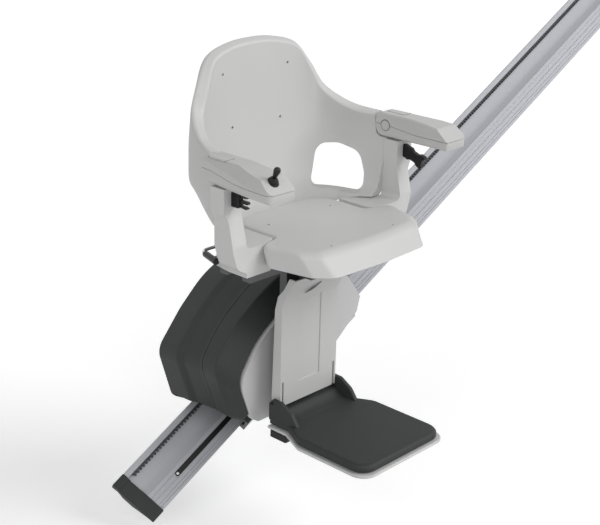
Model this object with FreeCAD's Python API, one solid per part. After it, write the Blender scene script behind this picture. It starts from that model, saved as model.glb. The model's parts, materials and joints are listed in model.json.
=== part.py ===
import FreeCAD, Part
import math
import os

# A stairlift chair on a straight inclined rail. Millimetres, +Z up, +X towards the upper end of the stairs,
# -Y towards the front of the chair. The pieces are drawn with the seat surface at z = 0 and the chair's
# middle plane at x = 0, and are written out from the rail's fixing hole behind the carriage.
V = FreeCAD.Vector
X_AXIS, Y_AXIS, Z_AXIS = V(1, 0, 0), V(0, 1, 0), V(0, 0, 1)

# Rail: an aluminium extrusion that leans back, drawn on a face line (across) and its depth (out)
rail_angle = 28.0
rail_length = 1960.0
rail_tilt = 39.0
rail_face = 118.0
rail_front_y = 235.0
rail_start_x = -263.0
rail_start_z = -668.0
rail_wall = 3.5
rail_body_depth = 24.0
rail_lip_depth = 16.0
rail_lip_width = 12.0
rail_lip_rise = 2.0
channel_start = 66.0
channel_depth = 9.0
strip_groove_at = 31.0
strip_width = 12.0
strip_groove_depth = 3.0
strip_start = 84.0
groove_pitch = 7.0
groove_depth = 0.8
cap_length = 36.0
cap_overhang = 1.5
fixing_hole_radius = 4.25
fixing_hole_pitch = 500.0
fixing_hole_count = 4

# Rack and pinion
gear_module = 3.0
pinion_teeth = 10
pressure_angle = 20.0
backlash = 0.5
rack_depth = 7.0
pinion_from_middle = 60.0
running_fit = 0.05
shaft_radius = 8.0
roller_radius = 14.0
roller_width = 10.0
axle_radius = 4.0
roller_spread = 130.0

# Carriage housing, measured along the rail from its middle and square to the rail
carriage_middle = 430.0
cover_wall = 3.0
cover_front_y = 105.0
cover_back_y = 335.0
# each section of the cover: depth (y), half length, height above the rail line
cover_sections = ((105.0, 199.0, 283.0, 18.0), (120.0, 214.0, 299.0, 24.0), (150.0, 218.0, 329.0, 30.0),
                  (200.0, 220.0, 328.0, 31.0), (260.0, 224.0, 327.0, 31.0), (335.0, 229.0, 325.0, 31.0))
cover_corner_radius = 131.0
cover_corner_inset = 79.0
end_straight_low = 130.0
end_step_low = 70.0
end_step_inset = 39.0
panel_bottom = 103.0
tray_back_y = 232.0
tray_drop = -38.0
tray_lip = 18.0
dark_edge_front = 148.0
dark_edge_back = 2.0
rail_clearance = 4.0
panel_gap = 0.6
panel_depth = 3.0

# Post and its cover
post_half_width = 88.0
post_front_y = 50.0
post_depth = 26.0
post_bottom_z = -407.0
post_bend_z = -176.0
post_neck_z = -106.0
post_neck_y = 12.0
post_neck_depth = 18.0
post_wall = 4.0
recess_half_width = 34.0
recess_top_z = -172.0
recess_bottom_z = -362.0
recess_depth = 2.0
arm_slot_height = 56.0
arm_slot_width = 5.0
arm_slot_x = 80.0
core_half_width = 45.0
core_y = 79.0
core_depth = 20.0

# Footrest
foot_hinge_y = 64.0
foot_hinge_z = -396.0
tread_half_width = 129.0
tread_neck_half_width = 101.0
tread_top_z = -431.0
tread_thickness = 14.0
tread_front_y = -234.0
tread_shoulder_y = -40.0
tread_neck_y = 14.0
tread_rear_y = 66.0
tread_corner = 32.0
rim_margin = 8.0
rim_thickness = 7.0
rim_gap = 3.0
ear_thickness = 8.0
foot_pin_radius = 5.0

# Seat
seat_half_width = 203.0
seat_front_half_width = 179.0
seat_crease_y = -95.0
seat_crease_bulge = 19.0
seat_front_lean = 25.0
seat_thickness = 45.0
tongue_half_width = 141.0
tongue_start_y = 20.0
tongue_rear_y = 158.0
seat_rear_bulge = 8.0
tongue_corner = 45.0
seat_wall = 4.0
seat_gap = 3.0
seat_hinge_y = 150.0
seat_hinge_z = -20.0
seat_pin_radius = 5.0
cushion_hole_x = 94.0
cushion_hole_y = 86.6
cushion_hole_radius = 3.5

# Swivel
swivel_y = 46.0
swivel_plate_radius = 78.0
swivel_plate_thickness = 6.0
swivel_ring_height = 16.0
swivel_gap = 0.3
top_plate_thickness = 8.0
frame_top_z = -60.0
frame_height = 16.0

# Back shell: half width and rear line of its inner face at each height
shell_thickness = 26.0
back_levels = ((4.0, 186.0, 172.0, 66.0), (60.0, 214.0, 196.0, 70.0), (120.0, 228.0, 214.0, 78.0),
               (184.0, 236.0, 224.0, 88.0), (260.0, 236.0, 228.0, 96.0), (372.0, 236.0, 224.0, 100.0))
shell_side_front_y = 60.0
shell_top_z = 368.0
rim_shoulder_z = 190.0
rim_arm_z = 184.0
window_low_z = 6.0
window_high_z = 97.0

# Arm supports and armrests
support_front_y = 22.0
support_rear_y = 60.0
support_inner_x = 233.0
support_outer_x = 276.0
support_top_z = 128.0
support_base_inner_x = 146.0
support_base_outer_x = 224.0
support_base_front_y = 8.0
support_base_rear_y = 108.0
support_base_bottom_z = -60.0
arm_hinge_y = 59.0
arm_hinge_z = 158.0
arm_rear_radius = 26.0
arm_inner_x = 234.0
arm_outer_rear_x = 280.0
arm_outer_front_x = 302.0
arm_tip_y = -112.0
arm_chamfer_y = -72.0
arm_seam_z = 151.0
arm_bottom_rear_z = 132.0
arm_bottom_tip_z = 137.0
arm_top_rear_z = 184.0
arm_top_front_z = 176.0
arm_tip_top_z = 161.0
arm_outer_drop = 16.0
arm_pin_radius = 6.0
arm_lug_width = 16.0
arm_lug_gap = 0.5

parts_folder = "parts"
os.makedirs(parts_folder, exist_ok=True)

rail_turn = FreeCAD.Placement(V(rail_start_x, 0, rail_start_z),
                              FreeCAD.Rotation(Y_AXIS, -rail_angle))
tilt_cos = math.cos(math.radians(rail_tilt))
tilt_sin = math.sin(math.radians(rail_tilt))
across_dir = V(0, tilt_cos, tilt_sin)
out_dir = V(0, -tilt_sin, tilt_cos)


def rail_point(along, across, out):
    """A point in the rail's own frame: along the rail, up its leaning face, and out of that face."""
    return V(along, rail_front_y, 0) + across_dir * across + out_dir * out


def to_world(shape):
    """Moves a shape drawn in the rail's own frame to its place on the stairs."""
    moved = shape.copy()
    moved.Placement = rail_turn.multiply(shape.Placement)
    return moved


fixing_across = 73.0
origin_on_rail = rail_point(0, fixing_across, -rail_body_depth)
hole_offset = rail_turn.multVec(origin_on_rail)
rail_dir = V(math.cos(math.radians(rail_angle)), 0, math.sin(math.radians(rail_angle)))
origin_along = -hole_offset.x / rail_dir.x
origin = hole_offset + rail_dir * origin_along


def write(name, shape):
    """Writes one sub-part, measured from the fixing hole at the origin."""
    moved = shape.copy()
    moved.translate(-origin)
    moved.exportStep(parts_folder + "/" + name + ".step")
    print(name, "valid", moved.isValid(), "solids", len(moved.Solids), "volume", round(moved.Volume))


def block(x0, x1, y0, y1, z0, z1):
    return Part.makeBox(x1 - x0, y1 - y0, z1 - z0, V(x0, y0, z0))


def face_of(points):
    return Part.Face(Part.makePolygon(points + [points[0]]))


def rod(start, end, radius):
    return Part.makeCylinder(radius, (end - start).Length, start, end - start)


def mirror_x(shape):
    return shape.mirror(V(0, 0, 0), X_AXIS)


# Rail extrusion, with its lip, rack channel, strip groove and hollow body
def rail_section(along):
    lip_start = rail_face - rail_lip_width
    outline = [(0, -3), (0, 0), (groove_pitch, 0), (groove_pitch, -groove_depth), (groove_pitch + 1, -groove_depth),
               (groove_pitch + 1, 0), (2 * groove_pitch, 0), (2 * groove_pitch, -groove_depth),
               (2 * groove_pitch + 1, -groove_depth), (2 * groove_pitch + 1, 0),
               (strip_groove_at - strip_width / 2, 0),
               (strip_groove_at - strip_width / 2, -strip_groove_depth),
               (strip_groove_at + strip_width / 2, -strip_groove_depth),
               (strip_groove_at + strip_width / 2, 0), (channel_start - 6, 0), (channel_start, -channel_depth),
               (lip_start, -channel_depth), (lip_start, rail_lip_rise), (rail_face, rail_lip_rise),
               (rail_face + 2, 0), (rail_face + 2, -rail_lip_depth), (lip_start + 2, -rail_lip_depth),
               (lip_start - 3, -12.5), (96, -14), (87, -rail_body_depth), (59, -rail_body_depth),
               (38, -13), (13, -4.5)]
    return face_of([rail_point(along, m, w) for m, w in outline])


def rail_cavities(along):
    low = [(44, -rail_wall), (61, -rail_wall), (64, -12), (60, -rail_body_depth + rail_wall), (46, -13)]
    high = [(68, -channel_depth - rail_wall), (90, -channel_depth - rail_wall),
            (84, -rail_body_depth + rail_wall), (64, -rail_body_depth + rail_wall)]
    return [face_of([rail_point(along, m, w) for m, w in cavity]) for cavity in (low, high)]


def fixing_holes():
    holes = []
    for i in range(fixing_hole_count):
        base = rail_point(origin_along + i * fixing_hole_pitch, fixing_across, -rail_body_depth - 2)
        holes.append(Part.makeCylinder(fixing_hole_radius, rail_wall + 4, base, out_dir))
    return holes


rail = rail_section(0).extrude(X_AXIS * rail_length)
rail = rail.cut([c.extrude(X_AXIS * rail_length) for c in rail_cavities(0)] + fixing_holes())
write("rail_extrusion", to_world(rail))

# Toothed rack, under the lip
tooth_pitch = math.pi * gear_module
rack_tip = rail_face - rail_lip_width - 8.0
rack_pitch_line = rack_tip + 0.8 * gear_module
rack_root = rack_pitch_line + 1.25 * gear_module
rack_back = rail_face - rail_lip_width
tooth_count = int((rail_length - 2 * tooth_pitch) / tooth_pitch)
rack_start = (rail_length - tooth_count * tooth_pitch) / 2
slope = math.tan(math.radians(pressure_angle))
half_at_pitch = tooth_pitch / 4 - backlash / 2
half_at_tip = half_at_pitch - (rack_pitch_line - rack_tip) * slope
half_at_root = half_at_pitch + (rack_root - rack_pitch_line) * slope
rack_out_low = -channel_depth
rack_out_high = rack_out_low + rack_depth


def rack_wire():
    points = [(rack_start, rack_back), (rack_start, rack_root)]
    for i in range(tooth_count):
        middle = rack_start + (i + 0.5) * tooth_pitch
        points += [(middle - half_at_root, rack_root), (middle - half_at_tip, rack_tip),
                   (middle + half_at_tip, rack_tip), (middle + half_at_root, rack_root)]
    points += [(rack_start + tooth_count * tooth_pitch, rack_root),
               (rack_start + tooth_count * tooth_pitch, rack_back)]
    return face_of([rail_point(s, m, rack_out_low) for s, m in points])


write("toothed_rack", to_world(rack_wire().extrude(out_dir * rack_depth)))


# End caps that close the extrusion
def end_cap(along, direction):
    outline = [(-1.5, -5), (-1.5, 1.5), (rail_face * 0.55, 1.5), (channel_start + 6, -2), (rack_tip, -2),
               (rail_face - rail_lip_width, rail_lip_rise + 1.5), (rail_face + 3.5, rail_lip_rise),
               (rail_face + 3.5, -rail_lip_depth - 1.5), (104, -14.5), (97, -17), (88, -rail_body_depth - 1.5),
               (58, -rail_body_depth - 1.5), (36, -15), (12, -6.5)]
    cap = face_of([rail_point(along, m, w) for m, w in outline]).extrude(X_AXIS * direction * cap_length)
    return cap


write("lower_end_cap", to_world(end_cap(0, -1)))
write("upper_end_cap", to_world(end_cap(rail_length, 1)))

# Black strip in the lower groove, with round ends, and its screws
strip_end = rail_length - strip_start
strip_seat = -strip_groove_depth
strip_thickness = strip_groove_depth - 0.4
strip_half = strip_width / 2 - 0.2


def strip_shape():
    low = rail_point(strip_start, strip_groove_at - strip_half, strip_seat)
    side = across_dir * (2 * strip_half)
    body = face_of([low, low + X_AXIS * (strip_end - strip_start),
                    low + X_AXIS * (strip_end - strip_start) + side, low + side]).extrude(out_dir * strip_thickness)
    ends = [Part.makeCylinder(strip_half, strip_thickness, rail_point(s, strip_groove_at, strip_seat), out_dir)
            for s in (strip_start, strip_end)]
    holes = [Part.makeCylinder(2.0, strip_thickness + 2, rail_point(s, strip_groove_at, strip_seat - 1), out_dir)
             for s in strip_screw_places]
    return body.fuse(ends).removeSplitter().cut(holes)


strip_screw_places = [strip_start + (strip_end - strip_start) * i / 4 for i in range(5)]
write("contact_strip", to_world(strip_shape()))
screws = [Part.makeCylinder(1.9, strip_thickness + 0.3, rail_point(s, strip_groove_at, strip_seat), out_dir).fuse(
          Part.makeCylinder(3.4, 0.8, rail_point(s, strip_groove_at, strip_seat + strip_thickness), out_dir))
          for s in strip_screw_places]
write("strip_screws", to_world(Part.makeCompound(screws)))


# Carriage cover: a dome along the rail, drawn as one outline at several depths
def cover_outline(y, half_length, height, drop, shrink=0.0, low=None):
    half = half_length - shrink
    top = height - shrink
    low = tray_drop if low is None else low
    arc_start = top - cover_corner_radius - 20.0
    rise = cover_corner_radius + 20.0 - drop
    radius = (cover_corner_inset ** 2 + rise ** 2) / (2 * cover_corner_inset)
    turn = math.atan2(rise, radius - cover_corner_inset) / 2

    def at(u, n):
        return V(carriage_middle + u, y, n)

    def corner(side):
        middle = (half - radius + radius * math.cos(turn), arc_start + radius * math.sin(turn))
        return [at(side * half, arc_start), at(side * middle[0], middle[1]),
                at(side * (half - cover_corner_inset), top - drop)]

    left, right = corner(-1), corner(1)
    step = half - end_step_inset
    edges = [Part.LineSegment(at(-step, low), at(-step, end_step_low)),
             Part.LineSegment(at(-step, end_step_low), at(-half, end_straight_low)),
             Part.LineSegment(at(-half, end_straight_low), left[0]),
             Part.Arc(*left), Part.Arc(left[2], at(0, top), right[2]), Part.Arc(*reversed(right)),
             Part.LineSegment(right[0], at(half, end_straight_low)),
             Part.LineSegment(at(half, end_straight_low), at(step, end_step_low)),
             Part.LineSegment(at(step, end_step_low), at(step, low)),
             Part.LineSegment(at(step, low), at(-step, low))]
    return Part.Wire([e.toShape() for e in edges])


def cover_shape():
    outer = Part.makeLoft([cover_outline(*c) for c in cover_sections], True, True)
    inner_low = tray_drop - 10.0
    inner_sections = [(cover_sections[0][0] - 5.0,) + cover_sections[0][1:]] + list(cover_sections[1:-1])
    inner_sections.append((cover_back_y - cover_wall,) + cover_sections[-1][1:])
    inner = Part.makeLoft([cover_outline(*c, shrink=cover_wall, low=inner_low) for c in inner_sections], True, True)
    shell = outer.cut(inner)
    edge_slope = (dark_edge_front - dark_edge_back) / (rail_front_y - rail_clearance - cover_front_y)
    far_front = cover_front_y - 15.0
    lip = rail_point(0, rail_face + 4.0, rail_clearance)
    below = [(far_front, dark_edge_front + 15.0 * edge_slope), (rail_front_y - rail_clearance, dark_edge_back),
             (lip.y, lip.z), (lip.y, lip.z + 14.0), (420, lip.z + 14.0), (420, -120), (far_front, -120)]
    start = carriage_middle - 300.0
    below_cut = face_of([V(start, y, n) for y, n in below]).extrude(X_AXIS * 600)
    return shell.cut(below_cut)


write("carriage_cover", to_world(cover_shape()))


# Light front panel, inside the cover's front edge, with a slot for the post brackets
def front_panel_shape():
    y, half, height, drop = cover_sections[0]
    outline = cover_outline(y - 1.0, half, height, drop, shrink=cover_wall + panel_gap)
    body = Part.Face(outline).extrude(Y_AXIS * (panel_depth + 1.0))
    far = half + 40.0
    low_side = [(-far, dark_edge_front - 6.0), (-half + 1.0, dark_edge_front - 6.0), (-half + 27.0, panel_bottom),
                (half - 27.0, panel_bottom), (half - 1.0, dark_edge_front - 6.0), (far, dark_edge_front - 6.0),
                (far, -120), (-far, -120)]
    cutter = face_of([V(carriage_middle + u, y - 10, n) for u, n in low_side]).extrude(Y_AXIS * 30)
    return body.cut(cutter)


# Light lower tray: closes the housing from the front panel back under the rail
def tray_shape():
    slope = (tray_drop - panel_bottom) / (tray_back_y - cover_front_y)
    rise = cover_wall * math.sqrt(1 + slope * slope)
    start = cover_front_y + panel_depth + 0.3
    top_slope = (dark_edge_back - dark_edge_front) / (rail_front_y - rail_clearance - cover_front_y)

    def under(y):
        return panel_bottom + slope * (y - cover_front_y)

    outline = [(start, under(start)), (tray_back_y, tray_drop), (tray_back_y + tray_lip, tray_drop),
               (tray_back_y + tray_lip, tray_drop + 20), (rail_front_y - 12, tray_drop + 20),
               (rail_front_y - 12, dark_edge_back - 2), (start, dark_edge_front + top_slope * (start - cover_front_y) - 8)]
    hollow = [(start - 10, under(start - 10) + rise), (tray_back_y, tray_drop + rise - 1.2),
              (tray_back_y + tray_lip - cover_wall, tray_drop + cover_wall), (tray_back_y + tray_lip - cover_wall, 80),
              (start - 10, 260)]
    half = cover_sections[0][1] - 30.0
    outer = face_of([V(carriage_middle - half, y, n) for y, n in outline]).extrude(X_AXIS * 2 * half)
    inner_half = half - cover_wall
    inner = face_of([V(carriage_middle - inner_half, y, n) for y, n in hollow]).extrude(X_AXIS * 2 * inner_half)
    return outer.cut(inner)


write("lower_tray", to_world(tray_shape()))


# Steel chassis: a plate over the leaning rail face, claws round both rail edges, brackets out to the post
plate_out = 34.0
plate_thickness = 6.0
plate_high = 125.0
plate_half_length = 162.0
claw_half_length = 22.0
claw_along = 139.0
claw_thickness = 6.0
shoe_gap = 0.4
shoe_thickness = 7.0


def rail_prism(points, along, length):
    """Extrudes a section drawn on the rail's across and out axes for a length along the rail."""
    return face_of([rail_point(along - length / 2, m, w) for m, w in points]).extrude(X_AXIS * length)


def edge_sections():
    """Sections of the nylon shoes and of the steel claws that hold them, at the upper and the lower edge."""
    top, back = rail_face + 2 + shoe_gap, -rail_lip_depth - shoe_gap
    behind = back - shoe_thickness
    upper_shoe = [(top, 9), (top + shoe_thickness, 9), (top + shoe_thickness, behind), (rail_face - 8, behind),
                  (rail_face - 8, back), (top, back)]
    claw_in = top + shoe_thickness
    claw_out = claw_in + claw_thickness
    upper_claw = [(plate_high - 5, plate_out), (plate_high - 5, plate_out + plate_thickness),
                  (claw_out, plate_out + plate_thickness), (claw_out, behind), (claw_in, behind), (claw_in, plate_out)]
    low = -shoe_gap
    lower_shoe = [(low, 9), (low - 6, 9), (low - 6, -11), (11, -11), (11, -4.7), (low, -3.4)]
    lower_claw = [(5, plate_out), (5, plate_out + plate_thickness), (low - 12, plate_out + plate_thickness),
                  (low - 12, -11), (low - 6, -11), (low - 6, plate_out)]
    return upper_shoe, upper_claw, lower_shoe, lower_claw


upper_shoe, upper_claw, lower_shoe, lower_claw = edge_sections()
claw_places = (carriage_middle - claw_along, carriage_middle + claw_along)
bracket_x = 36.0
bracket_thickness = 8.0
bracket_low_z = -378.0
bracket_high_z = -292.0
slot_gap = 0.3
pinion_pitch_radius = pinion_teeth * gear_module / 2
pinion_across = rack_pitch_line - pinion_pitch_radius
pinion_tooth = round((carriage_middle + pinion_from_middle - rack_start) / tooth_pitch - 0.5)
pinion_along = rack_start + (pinion_tooth + 1) * tooth_pitch
roller_places = [(carriage_middle + side * roller_spread, across, out)
                 for side in (-1, 1) for across, out in ((rail_face - 6, rail_lip_rise), (12, 0))]
lug_thickness = 4.0


def roller_axis_point(place, offset):
    along, across, out = place
    return rail_point(along, across + offset, out + roller_radius + 0.3)


def axle_lugs():
    lugs = []
    for place in roller_places:
        for side in (-1, 1):
            near = side * (roller_width / 2 + 0.5)
            foot = roller_axis_point(place, near if side > 0 else near - lug_thickness)
            rise = plate_out - (place[2] + roller_radius + 0.3)
            strip = face_of([foot - X_AXIS * 7 - out_dir * 7, foot + X_AXIS * 7 - out_dir * 7,
                             foot + X_AXIS * 7 + out_dir * rise, foot - X_AXIS * 7 + out_dir * rise])
            lugs.append(strip.extrude(across_dir * lug_thickness))
    return lugs


def axle(place, radius):
    reach = roller_width / 2 + 0.5 + lug_thickness
    return Part.makeCylinder(radius, 2 * reach, roller_axis_point(place, -reach), across_dir)


def post_bracket(x):
    """A plumb steel plate from the chassis plate forward to the post's core."""
    feet = []
    for across in (25.0, 105.0):
        foot = rail_turn.multVec(rail_point(0, across, plate_out + 2))
        feet.append((foot.y, foot.z + (x - foot.x) / rail_dir.x * rail_dir.z))
    low_foot, high_foot = feet
    outline = [(core_y + core_depth, bracket_low_z), (core_y + core_depth, bracket_high_z), high_foot, low_foot]
    return face_of([V(x - bracket_thickness / 2, y, z) for y, z in outline]).extrude(X_AXIS * bracket_thickness)


battery_size = (135.0, 66.0, 90.0)
battery_from_middle = 25.0
battery_low = 150.0
battery_front_y = 112.0
battery_gap = 6.0
shelf_thickness = 3.0


def battery_shelf():
    """A bent sheet that rises from the chassis plate and runs forward under the batteries."""
    top = rail_point(0, plate_high, plate_out + plate_thickness)
    depth = 2 * battery_size[1] + battery_gap
    along = carriage_middle + battery_from_middle
    under = battery_low - shelf_thickness
    floor = face_of([V(along, battery_front_y, under), V(along, top.y, under), V(along, top.y, battery_low),
                     V(along, battery_front_y, battery_low)]).extrude(X_AXIS * battery_size[0])
    upright = face_of([V(along, top.y - shelf_thickness, top.z - 12), V(along, top.y, top.z - 12),
                       V(along, top.y, battery_low), V(along, top.y - shelf_thickness, battery_low)])
    return floor.fuse(upright.extrude(X_AXIS * (carriage_middle + plate_half_length - along)))


def chassis_shape():
    start = carriage_middle - plate_half_length
    plate = rail_prism([(0, plate_out), (plate_high, plate_out), (plate_high, plate_out + plate_thickness),
                        (0, plate_out + plate_thickness)], carriage_middle, 2 * plate_half_length)
    claws = [rail_prism(section, place, 2 * claw_half_length) for place in claw_places
             for section in (upper_claw, lower_claw)]
    bridge = [(rail_prism([(0, plate_out), (plate_high, plate_out), (plate_high, plate_out + plate_thickness),
                           (0, plate_out + plate_thickness)], place, 2 * claw_half_length)) for place in claw_places]
    chassis = plate.fuse(claws + bridge + axle_lugs() + [battery_shelf()])
    holes = [axle(place, axle_radius) for place in roller_places]
    holes.append(Part.makeCylinder(gear_boss_radius, 30, rail_point(pinion_along, pinion_across, plate_out - 10),
                                   out_dir))
    chassis = to_world(chassis.cut(holes))
    return chassis.fuse([post_bracket(-bracket_x), post_bracket(bracket_x)]).removeSplitter()


gear_boss_radius = 16.0
write("chassis", chassis_shape())
write("roller_axles", to_world(Part.makeCompound([axle(place, axle_radius) for place in roller_places])))
write("guide_shoes", to_world(Part.makeCompound([rail_prism(section, place, 2 * claw_half_length)
                                                 for place in claw_places for section in (upper_shoe, lower_shoe)])))


def roller(place):
    base = roller_axis_point(place, -roller_width / 2)
    wheel = Part.makeCylinder(roller_radius, roller_width, base, across_dir)
    bore = Part.makeCylinder(axle_radius + running_fit, roller_width, base, across_dir)
    groove = Part.makeCylinder(roller_radius + 1, 2, base + across_dir * (roller_width / 2 - 1), across_dir)
    core = Part.makeCylinder(roller_radius - 1, 2, base + across_dir * (roller_width / 2 - 1), across_dir)
    return wheel.cut([bore, groove.cut(core)])


roller_names = ("lower_top_roller", "lower_bottom_roller", "upper_top_roller", "upper_bottom_roller")
for name, place in zip(roller_names, roller_places):
    write(name, to_world(roller(place)))


# Pinion: involute flanks from the base circle, one shaft up into the gearbox
def pinion_shape():
    base_radius = pinion_pitch_radius * math.cos(math.radians(pressure_angle))
    tip_radius = pinion_pitch_radius + 0.8 * gear_module
    root_radius = pinion_pitch_radius - 1.15 * gear_module
    half_tooth = math.pi / (2 * pinion_teeth) - backlash / 2 / pinion_pitch_radius
    pitch_roll = math.tan(math.radians(pressure_angle)) - math.radians(pressure_angle)

    def flank(radius):
        roll = math.sqrt(max(radius * radius / base_radius ** 2 - 1, 0))
        return half_tooth + pitch_roll - (roll - math.atan(roll))

    steps = 4
    radii = [base_radius + (tip_radius - base_radius) * i / steps for i in range(steps + 1)]
    points = []
    centre = rail_point(pinion_along, pinion_across, rack_out_low + 0.6)
    for i in range(pinion_teeth):
        middle = math.pi / 2 + 2 * math.pi * i / pinion_teeth
        outline = [(root_radius, middle - flank(base_radius))] + [(r, middle - flank(r)) for r in radii]
        outline += [(r, middle + flank(r)) for r in reversed(radii)] + [(root_radius, middle + flank(base_radius))]
        points += [centre + X_AXIS * (r * math.cos(a)) + across_dir * (r * math.sin(a)) for r, a in outline]
    gear = face_of(points).extrude(out_dir * (rack_depth - 0.8))
    shaft = Part.makeCylinder(shaft_radius, plate_out + 30 - rack_out_low, centre, out_dir)
    return gear.fuse(shaft)


write("drive_pinion", to_world(pinion_shape()))


# Gearbox, motor, batteries and control board inside the housing
gearbox_half = (35.0, 30.0)
gearbox_height = 44.0
motor_radius = 30.0
motor_length = 84.0


def gearbox_shape():
    low = plate_out + plate_thickness
    section = [(pinion_across - gearbox_half[1], low), (pinion_across + gearbox_half[1], low),
               (pinion_across + gearbox_half[1], low + gearbox_height - 8),
               (pinion_across + gearbox_half[1] - 8, low + gearbox_height),
               (pinion_across - gearbox_half[1], low + gearbox_height)]
    box = rail_prism(section, pinion_along, 2 * gearbox_half[0])
    boss = Part.makeCylinder(gear_boss_radius, 26, rail_point(pinion_along, pinion_across, low - 20), out_dir)
    bore = Part.makeCylinder(shaft_radius + running_fit, 60, rail_point(pinion_along, pinion_across, low - 30), out_dir)
    return box.fuse(boss).cut(bore)


def motor_shape():
    start = rail_point(pinion_along + gearbox_half[0], pinion_across, plate_out + plate_thickness + motor_radius + 1)
    can = Part.makeCylinder(motor_radius, motor_length, start, X_AXIS)
    cap = Part.makeCone(motor_radius - 2, motor_radius - 10, 10, start + X_AXIS * motor_length, X_AXIS)
    return can.fuse(cap)


def battery_shape(front):
    length, depth, height = battery_size
    case = Part.makeBox(length, depth, height, V(carriage_middle + battery_from_middle, front, battery_low))
    terminals = [Part.makeCylinder(6, 5, V(carriage_middle + battery_from_middle + t, front + depth / 2,
                                           battery_low + height), Z_AXIS) for t in (18, length - 18)]
    return case.fuse(terminals)


write("gearbox", to_world(gearbox_shape()))
write("drive_motor", to_world(motor_shape()))
write("batteries", to_world(Part.makeCompound([
    battery_shape(battery_front_y), battery_shape(battery_front_y + battery_size[1] + battery_gap)])))

board_size = (110.0, 2.0, 90.0)
board_corner = (-175.0, 316.0, 130.0)


def board_shape():
    along, y, n = carriage_middle + board_corner[0], board_corner[1], board_corner[2]
    board = Part.makeBox(*board_size, V(along, y, n))
    feet = [Part.makeCylinder(3.5, cover_back_y - cover_wall - y - board_size[1],
                              V(along + u, y + board_size[1], n + h), Y_AXIS)
            for u in (8, board_size[0] - 8) for h in (8, board_size[2] - 8)]
    relays = [Part.makeBox(16, 14, 20, V(along + 20 + 28 * i, y - 14, n + 50)) for i in range(3)]
    heat_sink = [Part.makeBox(3, 18, 30, V(along + 20 + 9 * i, y - 18, n + 10)) for i in range(8)]
    return board.fuse(feet + relays + heat_sink)


write("control_board", to_world(board_shape()))


# Post: a steel core with a swivel plate on top, behind a moulded cover
post_front = ((post_front_y, post_bottom_z), (post_front_y, post_bend_z), (39.0, -145.0), (20.0, -122.0),
              (post_neck_y, post_neck_z))
post_rear = ((post_neck_y + post_neck_depth, post_neck_z), (45.0, -134.0), (62.0, -154.0), (70.0, -186.0),
             (post_front_y + post_depth, post_bottom_z + 9))
core_low_z = -402.0
core_boss_radius = 9.5


def side_prism(points, x0, x1):
    """Extrudes a side profile of (y, z) points from x0 to x1."""
    return face_of([V(x0, y, z) for y, z in points]).extrude(X_AXIS * (x1 - x0))


def post_core_shape():
    upright = block(-core_half_width, core_half_width, core_y, core_y + core_depth, core_low_z, post_neck_z)
    neck = side_prism([(core_y, -150), (core_y, post_neck_z), (core_y - 30, post_neck_z)], -8, 8)
    plate = block(-60, 60, -5, 104, post_neck_z, post_neck_z + top_plate_thickness)
    lugs = [block(x - 6, x + 6, foot_hinge_y, core_y, foot_hinge_z - core_boss_radius, foot_hinge_z + core_boss_radius)
            .fuse(Part.makeCylinder(core_boss_radius, 12, V(x - 6, foot_hinge_y, foot_hinge_z), X_AXIS))
            for x in (-34, 34)]
    hole = Part.makeCylinder(foot_pin_radius, 200, V(-100, foot_hinge_y, foot_hinge_z), X_AXIS)
    return upright.fuse([neck, plate] + lugs).cut(hole).removeSplitter()


write("post_core", post_core_shape())


def post_cover_shape():
    front = list(post_front)
    outer = side_prism(front + list(post_rear), -post_half_width, post_half_width)
    inner_front = [(y + post_wall, z) for y, z in front]
    inner_front[0] = (post_front_y + post_wall, post_bottom_z - 5)
    inner_front.append((post_neck_y + post_wall, post_neck_z + 5))
    inner = side_prism(inner_front + [(120, post_neck_z + 5), (120, post_bottom_z - 5)],
                       -post_half_width + post_wall, post_half_width - post_wall)
    recess = block(-recess_half_width, recess_half_width, post_front_y - 1, post_front_y + recess_depth,
                   recess_bottom_z, recess_top_z)
    slots = [block(side * arm_slot_x - arm_slot_width / 2, side * arm_slot_x + arm_slot_width / 2,
                   post_front_y - 1, post_front_y + post_wall + 1, post_bottom_z - 1, post_bottom_z + arm_slot_height)
             for side in (-1, 1)]
    pin = Part.makeCylinder(foot_pin_radius, 200, V(-100, foot_hinge_y, foot_hinge_z), X_AXIS)
    bosses = [Part.makeCylinder(6, core_y - post_front_y - post_wall + 1, V(x, post_front_y + post_wall - 1, z), Y_AXIS)
              for x in (-25, 25) for z in (-200, -350)]
    return outer.cut([inner, recess, pin] + slots).fuse(bosses)


write("post_cover", post_cover_shape())
write("footrest_pin", Part.makeCylinder(foot_pin_radius, 2 * (post_half_width + ear_thickness + 3),
                                        V(-post_half_width - ear_thickness - 3, foot_hinge_y, foot_hinge_z), X_AXIS))
write("front_panel", to_world(front_panel_shape()).cut(
    block(-bracket_x - bracket_thickness / 2 - slot_gap, bracket_x + bracket_thickness / 2 + slot_gap, 90, 125,
          bracket_low_z - 10, bracket_high_z + 14)))


# Footrest: a tread on two hinge arms, with a sprung safety plate under it
def tread_outline(margin, z):
    side, neck = tread_half_width - margin, tread_neck_half_width
    front, corner = tread_front_y + margin, tread_corner - margin / 2
    turn = corner * (1 - math.sqrt(0.5))
    half = [V(0, tread_rear_y, z), V(neck, tread_rear_y, z), V(neck, tread_neck_y, z), V(side, tread_shoulder_y, z),
            V(side, front + corner, z)]
    edges = [Part.LineSegment(a, b).toShape() for a, b in zip(half, half[1:])]
    edges.append(Part.Arc(half[-1], V(side - turn, front + turn, z), V(side - corner, front, z)).toShape())
    edges.append(Part.LineSegment(V(side - corner, front, z), V(0, front, z)).toShape())
    wire = Part.Wire(edges)
    return Part.Face(Part.Wire(wire.Edges + [mirror_x(e) for e in reversed(wire.Edges)]))


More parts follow.
